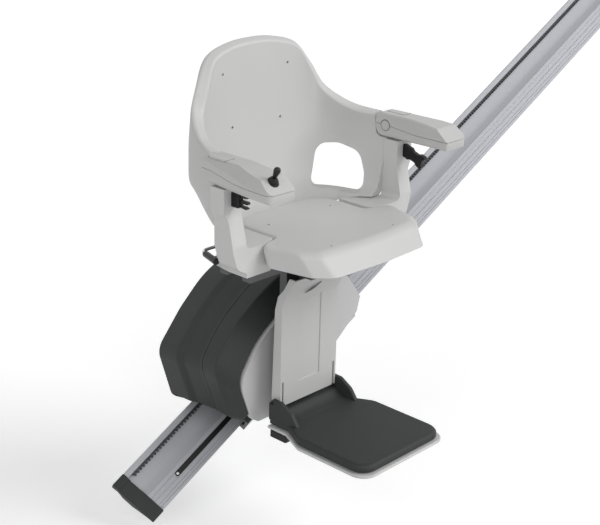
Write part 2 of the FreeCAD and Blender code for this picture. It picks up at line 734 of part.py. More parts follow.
def hinge_arm(side):
    rear, low = tread_rear_y + 4, tread_top_z - tread_thickness / 2
    profile = [(rear, low), (rear, foot_hinge_z + 2), (foot_hinge_y, foot_hinge_z + 10), (45, foot_hinge_z + 9),
               (38, foot_hinge_z + 3), (10, foot_hinge_z - 12), (4, low)]
    inner = post_half_width + 1
    arm = side_prism(profile, inner, inner + ear_thickness)
    arm = arm if side > 0 else mirror_x(arm)
    return arm


def foot_pin_hole():
    return Part.makeCylinder(foot_pin_radius + running_fit, 240, V(-120, foot_hinge_y, foot_hinge_z), X_AXIS)


stud_places = [(x, y) for x in (-90, 90) for y in (-200, 20)]
stud_radius = 4.0
stud_height = 9.0


def tread_shape():
    slab = tread_outline(0, tread_top_z - tread_thickness).extrude(Z_AXIS * tread_thickness)
    top_edges = [e for e in slab.Edges if min(v.Z for v in e.Vertexes) > tread_top_z - 0.1]
    slab = slab.makeFillet(3.0, top_edges)
    arms = [hinge_arm(-1), hinge_arm(1)]
    holes = [Part.makeCylinder(stud_radius + running_fit, stud_height, V(x, y, tread_top_z - tread_thickness), Z_AXIS)
             for x, y in stud_places]
    return slab.fuse(arms).cut(holes + [foot_pin_hole()])


def safety_plate_shape():
    top = tread_top_z - tread_thickness - rim_gap
    plate = tread_outline(-rim_margin, top - rim_thickness).extrude(Z_AXIS * rim_thickness)
    rear = block(-200, 200, tread_neck_y - 10, 200, top - 20, top + 20)
    studs = [Part.makeCylinder(stud_radius, rim_gap + stud_height - 3.5, V(x, y, top), Z_AXIS) for x, y in stud_places]
    tongue = block(-70, 70, tread_neck_y - 12, 50, top - rim_thickness, top)
    return plate.cut(rear).fuse([tongue] + studs)


write("footrest_tread", tread_shape())
write("safety_plate", safety_plate_shape())

# Seat swivel: ring on the post, plate and frame on the chair
swivel_ring_z = post_neck_z + top_plate_thickness
swivel_top_z = frame_top_z - frame_height
spindle_radius = 15.0
seat_ear_radius = 8.0
back_post_y = 183.0
back_low_z = 3.0


def disc(radius, z, height):
    return Part.makeCylinder(radius, height, V(0, swivel_y, z), Z_AXIS)


def swivel_ring_shape():
    height = swivel_top_z - swivel_plate_thickness - swivel_gap - swivel_ring_z
    return disc(swivel_plate_radius, swivel_ring_z, height).cut(
        disc(spindle_radius + running_fit, swivel_ring_z - 1, height + 2))


def seat_frame_shape():
    low = swivel_top_z
    plate = block(-172, 172, support_base_front_y + 6, 165, low, low + 6)
    beams = [block(-support_base_outer_x + 6, support_base_outer_x - 6, y, y + 22, low, frame_top_z)
             for y in (support_base_front_y + 6, support_base_rear_y - 30)]
    ears = [block(x - 4, x + 4, seat_hinge_y - seat_ear_radius, seat_hinge_y + seat_ear_radius, low, seat_hinge_z).fuse(
        Part.makeCylinder(seat_ear_radius, 8, V(x - 4, seat_hinge_y, seat_hinge_z), X_AXIS)) for x in (-60, 60)]
    back_post = [block(x - 20, x + 20, 160, back_post_y + 10, low, low + 6).fuse(
        block(x - 20, x + 20, back_post_y, back_post_y + 10, low, back_low_z + 0.5)) for x in (-95, 95)]
    pin = Part.makeCylinder(seat_pin_radius, 200, V(-100, seat_hinge_y, seat_hinge_z), X_AXIS)
    return plate.fuse(beams + ears + back_post).cut(pin).removeSplitter()


write("swivel_ring", swivel_ring_shape())
write("swivel_plate", disc(swivel_plate_radius - 4, swivel_top_z - swivel_plate_thickness, swivel_plate_thickness).fuse(
    disc(spindle_radius, swivel_ring_z + 0.5, swivel_top_z - swivel_ring_z - 1)))
write("seat_frame", seat_frame_shape())
write("seat_hinge_pin", Part.makeCylinder(seat_pin_radius, 140, V(-70, seat_hinge_y, seat_hinge_z), X_AXIS))


# Seat: a hollow moulding whose tongue runs back between the arm supports
def seat_outline(z, spread=0.0, lean=0.0):
    tongue = tongue_half_width + spread
    side = seat_half_width + spread + lean * 0.1
    crease_x, crease_y = seat_front_half_width + spread, seat_crease_y - spread - lean * 0.9
    rear = tongue_rear_y + seat_rear_bulge + spread
    start, mid_turn = V(0, rear, z), V(tongue - 12, tongue_rear_y - 16 + spread, z)
    corner_in, corner_out = V(tongue - tongue_corner, tongue_rear_y + spread, z), V(tongue, tongue_rear_y - 47, z)
    flare = V(side - 8, 6 + spread, z)
    edges = [Part.Arc(start, V(tongue / 2, rear - 3, z), corner_in), Part.Arc(corner_in, mid_turn, corner_out),
             Part.LineSegment(corner_out, V(tongue, tongue_start_y + spread, z)),
             Part.Arc(V(tongue, tongue_start_y + spread, z), V(tongue + 14, 13 + spread, z), flare),
             Part.Arc(flare, V(side - 1, 1 + spread, z), V(side, -8, z)),
             Part.LineSegment(V(side, -8, z), V(crease_x, crease_y, z)),
             Part.Arc(V(crease_x, crease_y, z), V(crease_x / 2, crease_y - seat_crease_bulge * 0.76, z),
                      V(0, crease_y - seat_crease_bulge, z))]
    half = [e.toShape() for e in edges]
    return Part.Wire(half + [mirror_x(e) for e in reversed(half)])


def seat_shape():
    low = -seat_thickness
    outer = Part.makeLoft([seat_outline(low, 0, seat_front_lean), seat_outline(-3, 0, 3), seat_outline(0, -3, 0)],
                          True, True)
    hollow = Part.makeLoft([seat_outline(low - 1, -seat_wall, seat_front_lean), seat_outline(-seat_wall, -seat_wall, 3)],
                           True, True)
    ribs = [block(x - 4, x + 4, -95, tongue_rear_y - 4, low + 2, -2) for x in (-100, -48, 48, 100)]
    holes = [Part.makeCylinder(cushion_hole_radius, 20, V(x, y, -12), Z_AXIS)
             for x in (-cushion_hole_x, cushion_hole_x) for y in (-cushion_hole_y, cushion_hole_y)]
    pin = Part.makeCylinder(seat_pin_radius + running_fit, 200, V(-100, seat_hinge_y, seat_hinge_z), X_AXIS)
    reach = seat_ear_radius + 1
    slots = [block(x - 5.5, x + 5.5, seat_hinge_y - reach, seat_hinge_y + 40, low - 1, seat_hinge_z + reach)
             for x in (-60, 60)]
    return outer.cut(hollow).fuse(ribs).cut(holes + [pin] + slots)


write("seat_base", seat_shape())
pad_height = -seat_thickness + 2 - 0.3 - frame_top_z
write("seat_rests", Part.makeCompound([Part.makeCylinder(9, pad_height, V(x, y, frame_top_z), Z_AXIS)
                                       for x in (-100, 100) for y in (25, 89)]))


# Back shell: each station gives (x, y) of its inner face low, middle and at the rim, then the rim's height
back_stations = (((0, 170), (0, 205), (0, 227), 340), ((62, 171), (62, 206), (66, 226), 336),
                 ((112, 172), (112, 207), (122, 217), 321), ((138, 163), (150, 198), (151, 205), 272),
                 ((160, 140), (180, 184), (178, 190), 222), ((178, 111), (208, 158), (207, 141), 186),
                 ((192, 78), (228, 106), (232, 84), 182), ((198, 50), (236, 50), (238, 50), 182))
station_normals = ((0, 1), (0.05, 1), (0.35, 0.94), (0.72, 0.7), (0.8, 0.6), (0.9, 0.43), (0.98, 0.2), (1, 0))
rim_rise = 12.0
back_middle_z = 90.0


def back_section(side, station, normal):
    low, middle, rim, rim_z = station
    inner = [V(side * low[0], low[1], back_low_z), V(side * middle[0], middle[1], back_middle_z),
             V(side * rim[0], rim[1], rim_z)]
    middle_high = (inner[1] + inner[2]) * 0.5 + V(side * normal[0], normal[1], 0) * 6
    inner.insert(2, middle_high)
    push = V(side * normal[0], normal[1], 0) * shell_thickness
    outer = [inner[0] + push, inner[1] + push, inner[2] + push, inner[3] + push + Z_AXIS * rim_rise]
    inside, outside = Part.BSplineCurve(), Part.BSplineCurve()
    inside.interpolate(inner)
    outside.interpolate(list(reversed(outer)))
    return Part.Wire([inside.toShape(), Part.LineSegment(inner[3], outer[3]).toShape(), outside.toShape(),
                      Part.LineSegment(outer[0], inner[0]).toShape()])


def window_cutter():
    """The opening in a rear corner, drawn on a vertical plane across the corner's diagonal."""
    along, through = V(0.66, -0.75, 0), V(0.75, 0.66, 0)
    outline = [(-50, 7), (58, 7), (72, 26), (64, 56), (30, 92), (-38, 101)]
    points = [along * a + Z_AXIS * z + through * 100 for a, z in outline]
    prism = face_of(points).extrude(through * 250)
    corners = [e for e in prism.Edges if e.Length > 200]
    return prism.makeFillet(window_corner, corners)


window_corner = 9.0


def back_shell_shape():
    sections = [back_section(-1, s, n) for s, n in zip(reversed(back_stations), reversed(station_normals))]
    sections += [back_section(1, s, n) for s, n in zip(back_stations[1:], station_normals[1:])]
    shell = Part.makeLoft(sections, True, False)
    front_cut = block(-400, 400, -50, shell_side_front_y, -20, 400)
    arm_clear = Part.makeCylinder(arm_rear_radius + 2, 800, V(-400, arm_hinge_y, arm_hinge_z), X_AXIS)
    above_arm = block(-400, 400, 0, arm_hinge_y + arm_rear_radius + 2, arm_hinge_z, 400)
    low_cut = block(-400, 400, -50, 400, -60, back_low_z + 0.5)
    right_window = window_cutter()
    clips = [Part.makeCylinder(clip_radius, 8, V(x, y - 4, z), Y_AXIS)
             for x, y, z in [(side * 95, 224, 289) for side in (-1, 1)] + [(side * 71, 226, 175) for side in (-1, 1)]]
    return shell.cut([front_cut, arm_clear, above_arm, low_cut, right_window, mirror_x(right_window)] + clips)


clip_radius = 3.0
write("back_shell", back_shell_shape())


# Arm supports: an upright from a block beside the seat's tongue, with the lug for the armrest
def arm_support_shape():
    base_top = 0.0
    base = block(support_base_inner_x, support_base_outer_x, support_base_front_y, support_base_rear_y,
                 support_base_bottom_z, base_top)
    seat_room = Part.Face(seat_outline(support_base_bottom_z - 1, seat_gap)).extrude(Z_AXIS * 100)
    base = base.cut(seat_room)
    outline = [(support_base_outer_x - 24, support_base_bottom_z), (236, support_base_bottom_z + 4),
               (258, -34), (270, -8), (support_outer_x, 30), (282, support_top_z), (support_inner_x + 3, support_top_z),
               (support_inner_x + 3, 0), (support_base_outer_x - 24, 0)]
    upright = face_of([V(x, support_front_y, z) for x, z in outline]).extrude(
        Y_AXIS * (support_rear_y - support_front_y - 0.3))
    lug_x = arm_lug_x - arm_lug_width / 2
    neck = block(lug_x, lug_x + arm_lug_width, arm_hinge_y - lug_radius, support_rear_y - 0.3, support_top_z - 1,
                 arm_hinge_z)
    disc_part = Part.makeCylinder(lug_radius, arm_lug_width, V(lug_x, arm_hinge_y, arm_hinge_z), X_AXIS)
    hole = Part.makeCylinder(arm_pin_radius, 100, V(lug_x - 20, arm_hinge_y, arm_hinge_z), X_AXIS)
    support = base.fuse([upright, neck, disc_part])
    edges = [e for e in support.Edges if abs(e.Length - (support_rear_y - support_front_y - 0.3)) < 0.01
             and e.Vertexes[0].X > 250 and e.Vertexes[0].Z < 60]
    return support.makeFillet(6.0, edges).cut(hole)


arm_lug_x = 258.0
lug_radius = 20.0
right_support = arm_support_shape()
write("right_arm_support", right_support)
write("left_arm_support", mirror_x(right_support))


# Armrests: a tapering moulding in two halves, with a slot for the support's lug
def arm_section(y, inner_x, outer_x, bottom_z, inner_top, outer_top):
    return Part.makePolygon([V(inner_x + 4, y, bottom_z), V(outer_x - 6, y, bottom_z), V(outer_x, y, bottom_z + 8),
                             V(outer_x, y, outer_top - 3), V(outer_x - 3, y, outer_top), V(inner_x + 3, y, inner_top),
                             V(inner_x, y, inner_top - 3), V(inner_x, y, bottom_z + 4), V(inner_x + 4, y, bottom_z)])


def arm_body():
    rear_y = arm_hinge_y + arm_rear_radius
    drop = arm_outer_drop
    sections = [arm_section(rear_y, arm_inner_x, arm_outer_rear_x, arm_bottom_rear_z, arm_top_rear_z,
                            arm_top_rear_z - 6),
                arm_section(arm_hinge_y - 20, arm_inner_x, arm_outer_rear_x + 6, arm_bottom_rear_z, arm_top_rear_z,
                            arm_top_rear_z - 8),
                arm_section(arm_chamfer_y, arm_inner_x, arm_outer_front_x, arm_bottom_tip_z - 1, arm_top_front_z,
                            arm_top_front_z - drop),
                arm_section(arm_tip_y, arm_inner_x, arm_outer_front_x, arm_bottom_tip_z, arm_tip_top_z + 6,
                            arm_tip_top_z - 4)]
    body = Part.makeLoft(sections, True, True)
    round_end = [V(0, arm_hinge_y, arm_hinge_z - arm_rear_radius), V(0, rear_y, arm_hinge_z),
                 V(0, arm_hinge_y, arm_hinge_z + arm_rear_radius)]
    edges = [Part.Arc(*round_end).toShape(),
             Part.LineSegment(round_end[2], V(0, arm_tip_y - 10, arm_hinge_z + arm_rear_radius)).toShape(),
             Part.LineSegment(V(0, arm_tip_y - 10, arm_hinge_z + arm_rear_radius),
                              V(0, arm_tip_y - 10, arm_hinge_z - arm_rear_radius)).toShape(),
             Part.LineSegment(V(0, arm_tip_y - 10, arm_hinge_z - arm_rear_radius), round_end[0]).toShape()]
    side_shape = Part.Face(Part.Wire(edges)).extrude(X_AXIS * 400)
    tip = Part.makeCylinder(1, 1)
    corner = arm_tip_corner
    tip_cut = block(arm_outer_front_x - corner, arm_outer_front_x + 20, arm_tip_y - 10, arm_tip_y + corner, 100, 220)
    tip_round = Part.makeCylinder(corner, 120, V(arm_outer_front_x - corner, arm_tip_y + corner, 100), Z_AXIS)
    return body.common(side_shape).cut(tip_cut.cut(tip_round))


def lug_slot():
    half = arm_lug_width / 2 + arm_lug_gap
    radius = lug_radius + arm_lug_gap
    round_part = Part.makeCylinder(radius, 2 * half, V(arm_lug_x - half, arm_hinge_y, arm_hinge_z), X_AXIS)
    swept = block(arm_lug_x - half, arm_lug_x + half, arm_hinge_y - radius, arm_hinge_y + 60, arm_hinge_z - 60,
                  arm_hinge_z + 2)
    return round_part.fuse(swept)


arm_tip_corner = 22.0
right_arm = arm_body().cut([lug_slot(), Part.makeCylinder(arm_pin_radius + running_fit, 200,
                                                          V(150, arm_hinge_y, arm_hinge_z), X_AXIS)])
upper_half = right_arm.common(block(200, 320, -200, 200, arm_seam_z, 230))
lower_half = right_arm.common(block(200, 320, -200, 200, 100, arm_seam_z))
joystick_x = 278.0
joystick_y = -96.0
joystick_low_z = 158.0
ball_radius = 6.0
socket_gap = 0.3
pivot_z = joystick_low_z + 2.0
socket = Part.makeSphere(ball_radius + socket_gap, V(-joystick_x, joystick_y, pivot_z)).fuse(
    Part.makeCylinder(ball_radius + socket_gap, 40, V(-joystick_x, joystick_y, pivot_z), Z_AXIS))
write("right_arm_upper", upper_half)
write("right_arm_lower", lower_half)
write("left_arm_upper", mirror_x(upper_half).cut(socket))
write("left_arm_lower", mirror_x(lower_half).cut(socket))
pin_reach = 40.0
arm_pin = Part.makeCylinder(arm_pin_radius, pin_reach, V(arm_inner_x + 1.5, arm_hinge_y, arm_hinge_z), X_AXIS)
write("right_arm_pin", arm_pin)
write("left_arm_pin", mirror_x(arm_pin))
arm_cap = Part.makeCylinder(11, 2.2, V(arm_inner_x - 2.2, arm_hinge_y, arm_hinge_z), X_AXIS)
write("right_arm_cap", arm_cap)
write("left_arm_cap", mirror_x(arm_cap))


# Joystick on the left armrest, with its rubber boot
def joystick_shape():
    centre = V(-joystick_x, joystick_y, pivot_z)
    stem = Part.makeCylinder(2.5, 30, centre, Z_AXIS)
    profile = [V(0, 0, 24), V(4, 0, 24), V(6, 0, 32), V(9.5, 0, 36), V(9.5, 0, 40), V(6, 0, 43), V(0, 0, 43)]
    knob = face_of(profile).revolve(V(0, 0, 0), Z_AXIS, 360)
    knob.translate(centre)
    return Part.makeSphere(ball_radius, centre).fuse([stem, knob])


def boot_shape():
    profile = [V(0, 0, 0), V(15, 0, 0), V(15, 0, 5), V(13, 0, 8), V(9.5, 0, 11), V(7.6, 0, 16), V(0, 0, 16)]
    body = face_of(profile).revolve(V(0, 0, 0), Z_AXIS, 360)
    body.translate(V(-joystick_x, joystick_y, boot_z))
    throat = Part.makeCone(6.4, 6.3, 17, V(-joystick_x, joystick_y, boot_z - 1), Z_AXIS)
    return body.cut([throat, mirror_x(upper_half)])


boot_z = 159.0
write("joystick", joystick_shape())
write("joystick_boot", boot_shape())


# Swivel lever: a bent chrome rod under the seat's left rear, with a black grip
lever_root = V(-150, 150, -42)
lever_bend = V(-223, 150, -42)
lever_tip = V(-241, 94, -42)
lever_turn = 14.0
lever_radius = 3.5
lever_grip_radius = 7.0


def lever_rod_shape():
    toward = (lever_tip - lever_bend).normalize()
    turn_in = lever_bend + X_AXIS * lever_turn
    turn_out = lever_bend + toward * lever_turn
    inward = (X_AXIS + toward).normalize()
    cosine = inward.dot(toward)
    middle = lever_bend + inward * (lever_turn * (1 - math.sqrt(1 - cosine ** 2)) / cosine)
    path = Part.Wire([Part.LineSegment(lever_root, turn_in).toShape(), Part.Arc(turn_in, middle, turn_out).toShape(),
                      Part.LineSegment(turn_out, lever_tip).toShape()])
    ring = Part.Wire([Part.makeCircle(lever_radius, lever_root, X_AXIS)])
    return path.makePipeShell([ring], True, False)


write("lever_rod", lever_rod_shape())
grip_start = lever_tip + (lever_bend - lever_tip).normalize() * 40
grip_dir = (lever_tip - grip_start).normalize()
grip = Part.makeCylinder(lever_grip_radius, 52, grip_start, grip_dir).cut(
    Part.makeCylinder(lever_radius + running_fit, 40, grip_start, grip_dir))
write("lever_grip", grip)
bearing = block(-172, -146, 140, 160, swivel_top_z + 6, -30).cut(
    Part.makeCylinder(lever_radius + running_fit, 60, V(-180, 150, -42), X_AXIS))
write("lever_bearing", bearing)


# Belt buckles on the inner faces of the arm supports
def buckle_anchor(side):
    plate = block(support_inner_x + 2, support_inner_x + 28, support_front_y - 3, support_front_y, 70, 124)
    stalk = block(support_inner_x + 8, support_inner_x + 22, support_front_y - 30, support_front_y - 3, 88, 108)
    return plate.fuse(stalk) if side > 0 else mirror_x(plate.fuse(stalk))


write("belt_tongue", buckle_anchor(-1))
write("belt_buckle", buckle_anchor(1))
print("origin", origin, "rail dir", rail_dir, "pinion", pinion_along, pinion_across)
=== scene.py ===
import bpy
import bmesh
import json
import math
from mathutils import Vector, Matrix


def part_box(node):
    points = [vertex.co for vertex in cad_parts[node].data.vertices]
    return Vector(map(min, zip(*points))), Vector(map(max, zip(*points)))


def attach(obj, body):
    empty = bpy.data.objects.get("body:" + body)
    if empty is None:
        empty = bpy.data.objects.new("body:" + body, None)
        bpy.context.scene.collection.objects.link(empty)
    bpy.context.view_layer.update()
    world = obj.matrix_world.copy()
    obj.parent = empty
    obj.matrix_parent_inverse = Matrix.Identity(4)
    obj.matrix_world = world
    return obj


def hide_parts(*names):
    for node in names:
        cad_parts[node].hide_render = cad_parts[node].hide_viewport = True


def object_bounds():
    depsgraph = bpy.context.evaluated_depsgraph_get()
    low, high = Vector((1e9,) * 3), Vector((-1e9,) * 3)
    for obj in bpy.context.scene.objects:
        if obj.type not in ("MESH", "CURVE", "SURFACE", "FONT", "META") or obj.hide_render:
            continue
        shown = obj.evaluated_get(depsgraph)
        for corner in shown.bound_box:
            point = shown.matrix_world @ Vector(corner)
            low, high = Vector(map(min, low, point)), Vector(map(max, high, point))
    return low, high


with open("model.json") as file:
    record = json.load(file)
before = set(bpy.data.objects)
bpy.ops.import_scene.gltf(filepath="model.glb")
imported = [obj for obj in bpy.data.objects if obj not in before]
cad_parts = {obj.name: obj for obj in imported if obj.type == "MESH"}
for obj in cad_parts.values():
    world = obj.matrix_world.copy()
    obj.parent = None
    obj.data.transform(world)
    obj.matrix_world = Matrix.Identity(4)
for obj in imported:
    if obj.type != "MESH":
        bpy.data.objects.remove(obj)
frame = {"nodes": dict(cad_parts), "record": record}
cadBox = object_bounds()
nodes = frame["nodes"]
mm = 0.001
railAngle = math.radians(28)


def towards(azimuth, height):
    # the direction to a place that far round the object and that high above it
    around, high = math.radians(azimuth), math.radians(height)
    return Vector((math.sin(around) * math.cos(high), -math.cos(around) * math.cos(high), math.sin(high)))


# The photograph's camera
view = {
    "azimuth": -45.907, "elevation": 21.191, "roll": 1.014, "place": (-1.89488, -1.98677, 1.3557),
    "focalPixels": 1297.59, "widePixels": 600, "highPixels": 525, "centrePixel": (275.41, 279.16),
    "sensor": 36, "farthest": 50,
}


def makeCamera():
    around, roll = math.radians(view["azimuth"]), math.radians(view["roll"])
    back = towards(view["azimuth"], view["elevation"])
    right = Vector((math.cos(around), math.sin(around), 0))
    up = back.cross(right)
    rolledRight = right * math.cos(roll) + up * math.sin(roll)
    rolledUp = up * math.cos(roll) - right * math.sin(roll)
    data = bpy.data.cameras.new("photoCamera")
    camera = bpy.data.objects.new("photoCamera", data)
    bpy.context.scene.collection.objects.link(camera)
    turn = Matrix((rolledRight, rolledUp, back)).transposed().to_4x4()
    camera.matrix_world = Matrix.Translation(view["place"]) @ turn
    data.sensor_width = view["sensor"]
    data.sensor_fit = "HORIZONTAL"
    data.lens = view["focalPixels"] * view["sensor"] / view["widePixels"]
    data.shift_x = (view["widePixels"] / 2 - view["centrePixel"][0]) / view["widePixels"]
    data.shift_y = (view["centrePixel"][1] - view["highPixels"] / 2) / view["widePixels"]
    data.clip_end = view["farthest"]
    bpy.context.scene.camera = camera
    print("camera made")


# Shader tools
def valueNode(tree, operation, *values):
    node = tree.nodes.new("ShaderNodeMath")
    node.operation = operation
    for socket, value in zip(node.inputs, values):
        if isinstance(value, float):
            socket.default_value = value
        else:
            tree.links.new(value, socket)
    return node.outputs[0]


def seenDirectly(tree):
    # 1 on the rays that show a surface: the camera's, and those of reflections and glass
    path = tree.nodes.new("ShaderNodeLightPath")
    nearly = valueNode(tree, "MAXIMUM", path.outputs["Is Camera Ray"], path.outputs["Is Glossy Ray"])
    return valueNode(tree, "MAXIMUM", nearly, path.outputs["Is Transmission Ray"])


# Lamps, and a world that lights softly but is seen white
lamps = {
    "key": {"azimuth": 34, "height": 36, "power": 1.75, "spread": 40},
    "fill": {"azimuth": -62, "height": 34, "power": 0.95, "spread": 60},
}
worldLight = 0.2


def makeLamps():
    for name, lamp in lamps.items():
        data = bpy.data.lights.new(name + "Lamp", "SUN")
        data.energy = lamp["power"]
        data.angle = math.radians(lamp["spread"])
        piece = bpy.data.objects.new(name + "Lamp", data)
        bpy.context.scene.collection.objects.link(piece)
        piece.rotation_euler = towards(lamp["azimuth"], lamp["height"]).to_track_quat("Z", "Y").to_euler()
    world = bpy.data.worlds.new("studio")
    bpy.context.scene.world = world
    world.use_nodes = True
    tree = world.node_tree
    background = tree.nodes["Background"]
    background.inputs["Color"].default_value = (1, 1, 1, 1)
    strength = tree.nodes.new("ShaderNodeMapRange")
    strength.inputs["To Min"].default_value = worldLight
    strength.inputs["To Max"].default_value = 1.0
    tree.links.new(seenDirectly(tree), strength.inputs["Value"])
    tree.links.new(strength.outputs["Result"], background.inputs["Strength"])
    print("lamps made")


# The floor shows white to the camera and in reflections, and keeps the object's shadow
floor = {"drop": 0.035, "reach": 60, "tone": 0.9, "rough": 0.9, "glow": 0.4}


def makeFloor():
    low, reach = cadBox[0][2] - floor["drop"], floor["reach"]
    mesh = bpy.data.meshes.new("floor")
    corners = [(-reach, -reach, low), (reach, -reach, low), (reach, reach, low), (-reach, reach, low)]
    mesh.from_pydata(corners, [], [(0, 1, 2, 3)])
    piece = bpy.data.objects.new("floor", mesh)
    bpy.context.scene.collection.objects.link(piece)
    material = bpy.data.materials.new("floorPaint")
    material.use_nodes = True
    tree = material.node_tree
    shader = tree.nodes["Principled BSDF"]
    shader.inputs["Base Color"].default_value = (floor["tone"], floor["tone"], floor["tone"], 1)
    shader.inputs["Roughness"].default_value = floor["rough"]
    shader.inputs["Emission Color"].default_value = (1, 1, 1, 1)
    glow = valueNode(tree, "MULTIPLY", seenDirectly(tree), floor["glow"])
    tree.links.new(glow, shader.inputs["Emission Strength"])
    mesh.materials.append(material)
    print("floor made")


# Shader node groups shared by the materials
def newGroup(name, inputs):
    group = bpy.data.node_groups.new(name, "ShaderNodeTree")
    for label, value in inputs.items():
        kind = "NodeSocketFloat" if isinstance(value, float) else "NodeSocketColor"
        socket = group.interface.new_socket(label, in_out="INPUT", socket_type=kind)
        socket.default_value = value
    group.interface.new_socket("Colour", in_out="OUTPUT", socket_type="NodeSocketColor")
    group.interface.new_socket("Roughness", in_out="OUTPUT", socket_type="NodeSocketFloat")
    group.interface.new_socket("Height", in_out="OUTPUT", socket_type="NodeSocketFloat")
    return group, group.nodes.new("NodeGroupInput"), group.nodes.new("NodeGroupOutput")


def noiseNode(group, place, scale, detail):
    noise = group.nodes.new("ShaderNodeTexNoise")
    noise.inputs["Detail"].default_value = detail
    group.links.new(place, noise.inputs["Vector"])
    group.links.new(scale, noise.inputs["Scale"])
    return noise.outputs["Fac"]


def shadeByNoise(group, start, end, noise, toneChange, roughChange):
    # the colour and the roughness both follow the noise, each by its own share
    centred = valueNode(group, "SUBTRACT", noise, 0.5)
    tone = valueNode(group, "MULTIPLY_ADD", centred, start.outputs[toneChange], 1.0)
    shade = group.nodes.new("ShaderNodeVectorMath")
    shade.operation = "SCALE"
    group.links.new(start.outputs["Colour"], shade.inputs[0])
    group.links.new(tone, shade.inputs["Scale"])
    rough = valueNode(group, "MULTIPLY_ADD", centred, start.outputs[roughChange], start.outputs["Roughness"])
    group.links.new(shade.outputs[0], end.inputs["Colour"])
    group.links.new(rough, end.inputs["Roughness"])


def makeMouldGrain():
    # fine spark texture of a mould, with slow changes of tone and gloss
    group, start, end = newGroup("mouldGrain", {
        "Colour": (0.6, 0.6, 0.6, 1), "Grain Scale": 900.0, "Tone Scale": 3.0, "Tone Change": 0.05,
        "Roughness": 0.5, "Roughness Change": 0.08})
    place = group.nodes.new("ShaderNodeTexCoord").outputs["Object"]
    grain = noiseNode(group, place, start.outputs["Grain Scale"], 2)
    tone = noiseNode(group, place, start.outputs["Tone Scale"], 3)
    shadeByNoise(group, start, end, tone, "Tone Change", "Roughness Change")
    group.links.new(grain, end.inputs["Height"])
    return group


def makeDrawnLines():
    # long fine lines left by the extrusion die, along the rail
    group, start, end = newGroup("drawnLines", {
        "Colour": (0.6, 0.6, 0.62, 1), "Across Scale": 900.0, "Strength": 0.1, "Roughness": 0.35})
    turn = group.nodes.new("ShaderNodeMapping")
    turn.vector_type = "TEXTURE"
    turn.inputs["Rotation"].default_value = (0, -railAngle, 0)
    turn.inputs["Scale"].default_value = (400.0, 1.0, 1.0)
    group.links.new(group.nodes.new("ShaderNodeTexCoord").outputs["Object"], turn.inputs["Vector"])
    lines = noiseNode(group, turn.outputs[0], start.outputs["Across Scale"], 3)
    shadeByNoise(group, start, end, lines, "Strength", "Strength")
    group.links.new(lines, end.inputs["Height"])
    return group


groups = {"mouldGrain": makeMouldGrain(), "drawnLines": makeDrawnLines()}

# Finishes: the colour and texture of each material slot
paleMould = {"rough": 0.45, "grain": 1500, "bump": 0.00003, "tone": 0.04}
darkMould = {"rough": 0.45, "grain": 1100, "bump": 0.00004, "tone": 0.1}
glossMould = {**darkMould, "gloss": 0.3, "colour": (0.006, 0.006, 0.006)}
coarseMould = {**darkMould, "gloss": 0.3, "rough": 0.55, "bump": 0.00008, "tone": 0.12}
metal = {"rough": 0.3, "grain": 700, "bump": 0.00005, "tone": 0.1, "metal": 1.0}
finishes = {
    "seat_plastic": {**paleMould, "colour": (0.60, 0.60, 0.595), "rough": 0.5, "bump": 0.00004},
    "support_plastic": {**paleMould, "colour": (0.62, 0.62, 0.615), "rough": 0.48, "bump": 0.00004},
    "arm_plastic": {**paleMould, "colour": (0.56, 0.56, 0.555), "rough": 0.42},
    "post_plastic": {**paleMould, "colour": (0.58, 0.58, 0.575)},
    "panel_plastic": {**paleMould, "colour": (0.58, 0.58, 0.58)},
    "edge_plastic": {**paleMould, "colour": (0.60, 0.60, 0.595)},
    "cover_plastic": {**coarseMould, "colour": (0.030, 0.033, 0.032)},
    "tread_plastic": {**coarseMould, "colour": (0.030, 0.033, 0.032), "rough": 0.6, "grain": 800,
                      "bump": 0.0001},
    "cap_plastic": {**coarseMould, "colour": (0.026, 0.028, 0.028)},
    "strip_plastic": {**glossMould, "rough": 0.4},
    "rack_plastic": {**darkMould, "colour": (0.05, 0.052, 0.055), "metal": 0.6},
    "nylon": {**darkMould, "colour": (0.03, 0.03, 0.03)},
    "rest_rubber": {**glossMould, "colour": (0.007, 0.007, 0.007), "rough": 0.65, "bump": 0.00006},
    "knob_plastic": {**glossMould, "rough": 0.22, "bump": 0.00001},
    "buckle_plastic": {**glossMould, "rough": 0.38},
    "grip_plastic": {**glossMould, "rough": 0.3},
    "battery_plastic": {**darkMould, "colour": (0.02, 0.02, 0.022), "rough": 0.5, "grain": 900,
                        "bump": 0.00006},
    "board_plastic": {**darkMould, "colour": (0.01, 0.08, 0.03), "rough": 0.35, "grain": 900,
                      "bump": 0.00003},
    "frame_steel": {**metal, "colour": (0.09, 0.09, 0.095), "rough": 0.45, "metal": 0.3},
    "motor_metal": {**metal, "colour": (0.03, 0.03, 0.033), "rough": 0.4, "metal": 0.4},
    "gear_steel": {**metal, "colour": (0.45, 0.45, 0.45), "bump": 0.00003},
    "screw_steel": {**metal, "colour": (0.55, 0.55, 0.55), "bump": 0.00002},
    "lever_chrome": {**metal, "colour": (0.62, 0.63, 0.65), "rough": 0.12, "bump": 0.00001, "tone": 0.05},
    "rail_metal": {"colour": (0.40, 0.41, 0.435), "rough": 0.5, "metal": 0.3, "lines": 700,
                   "lineStrength": 0.12, "bump": 0.00004},
}


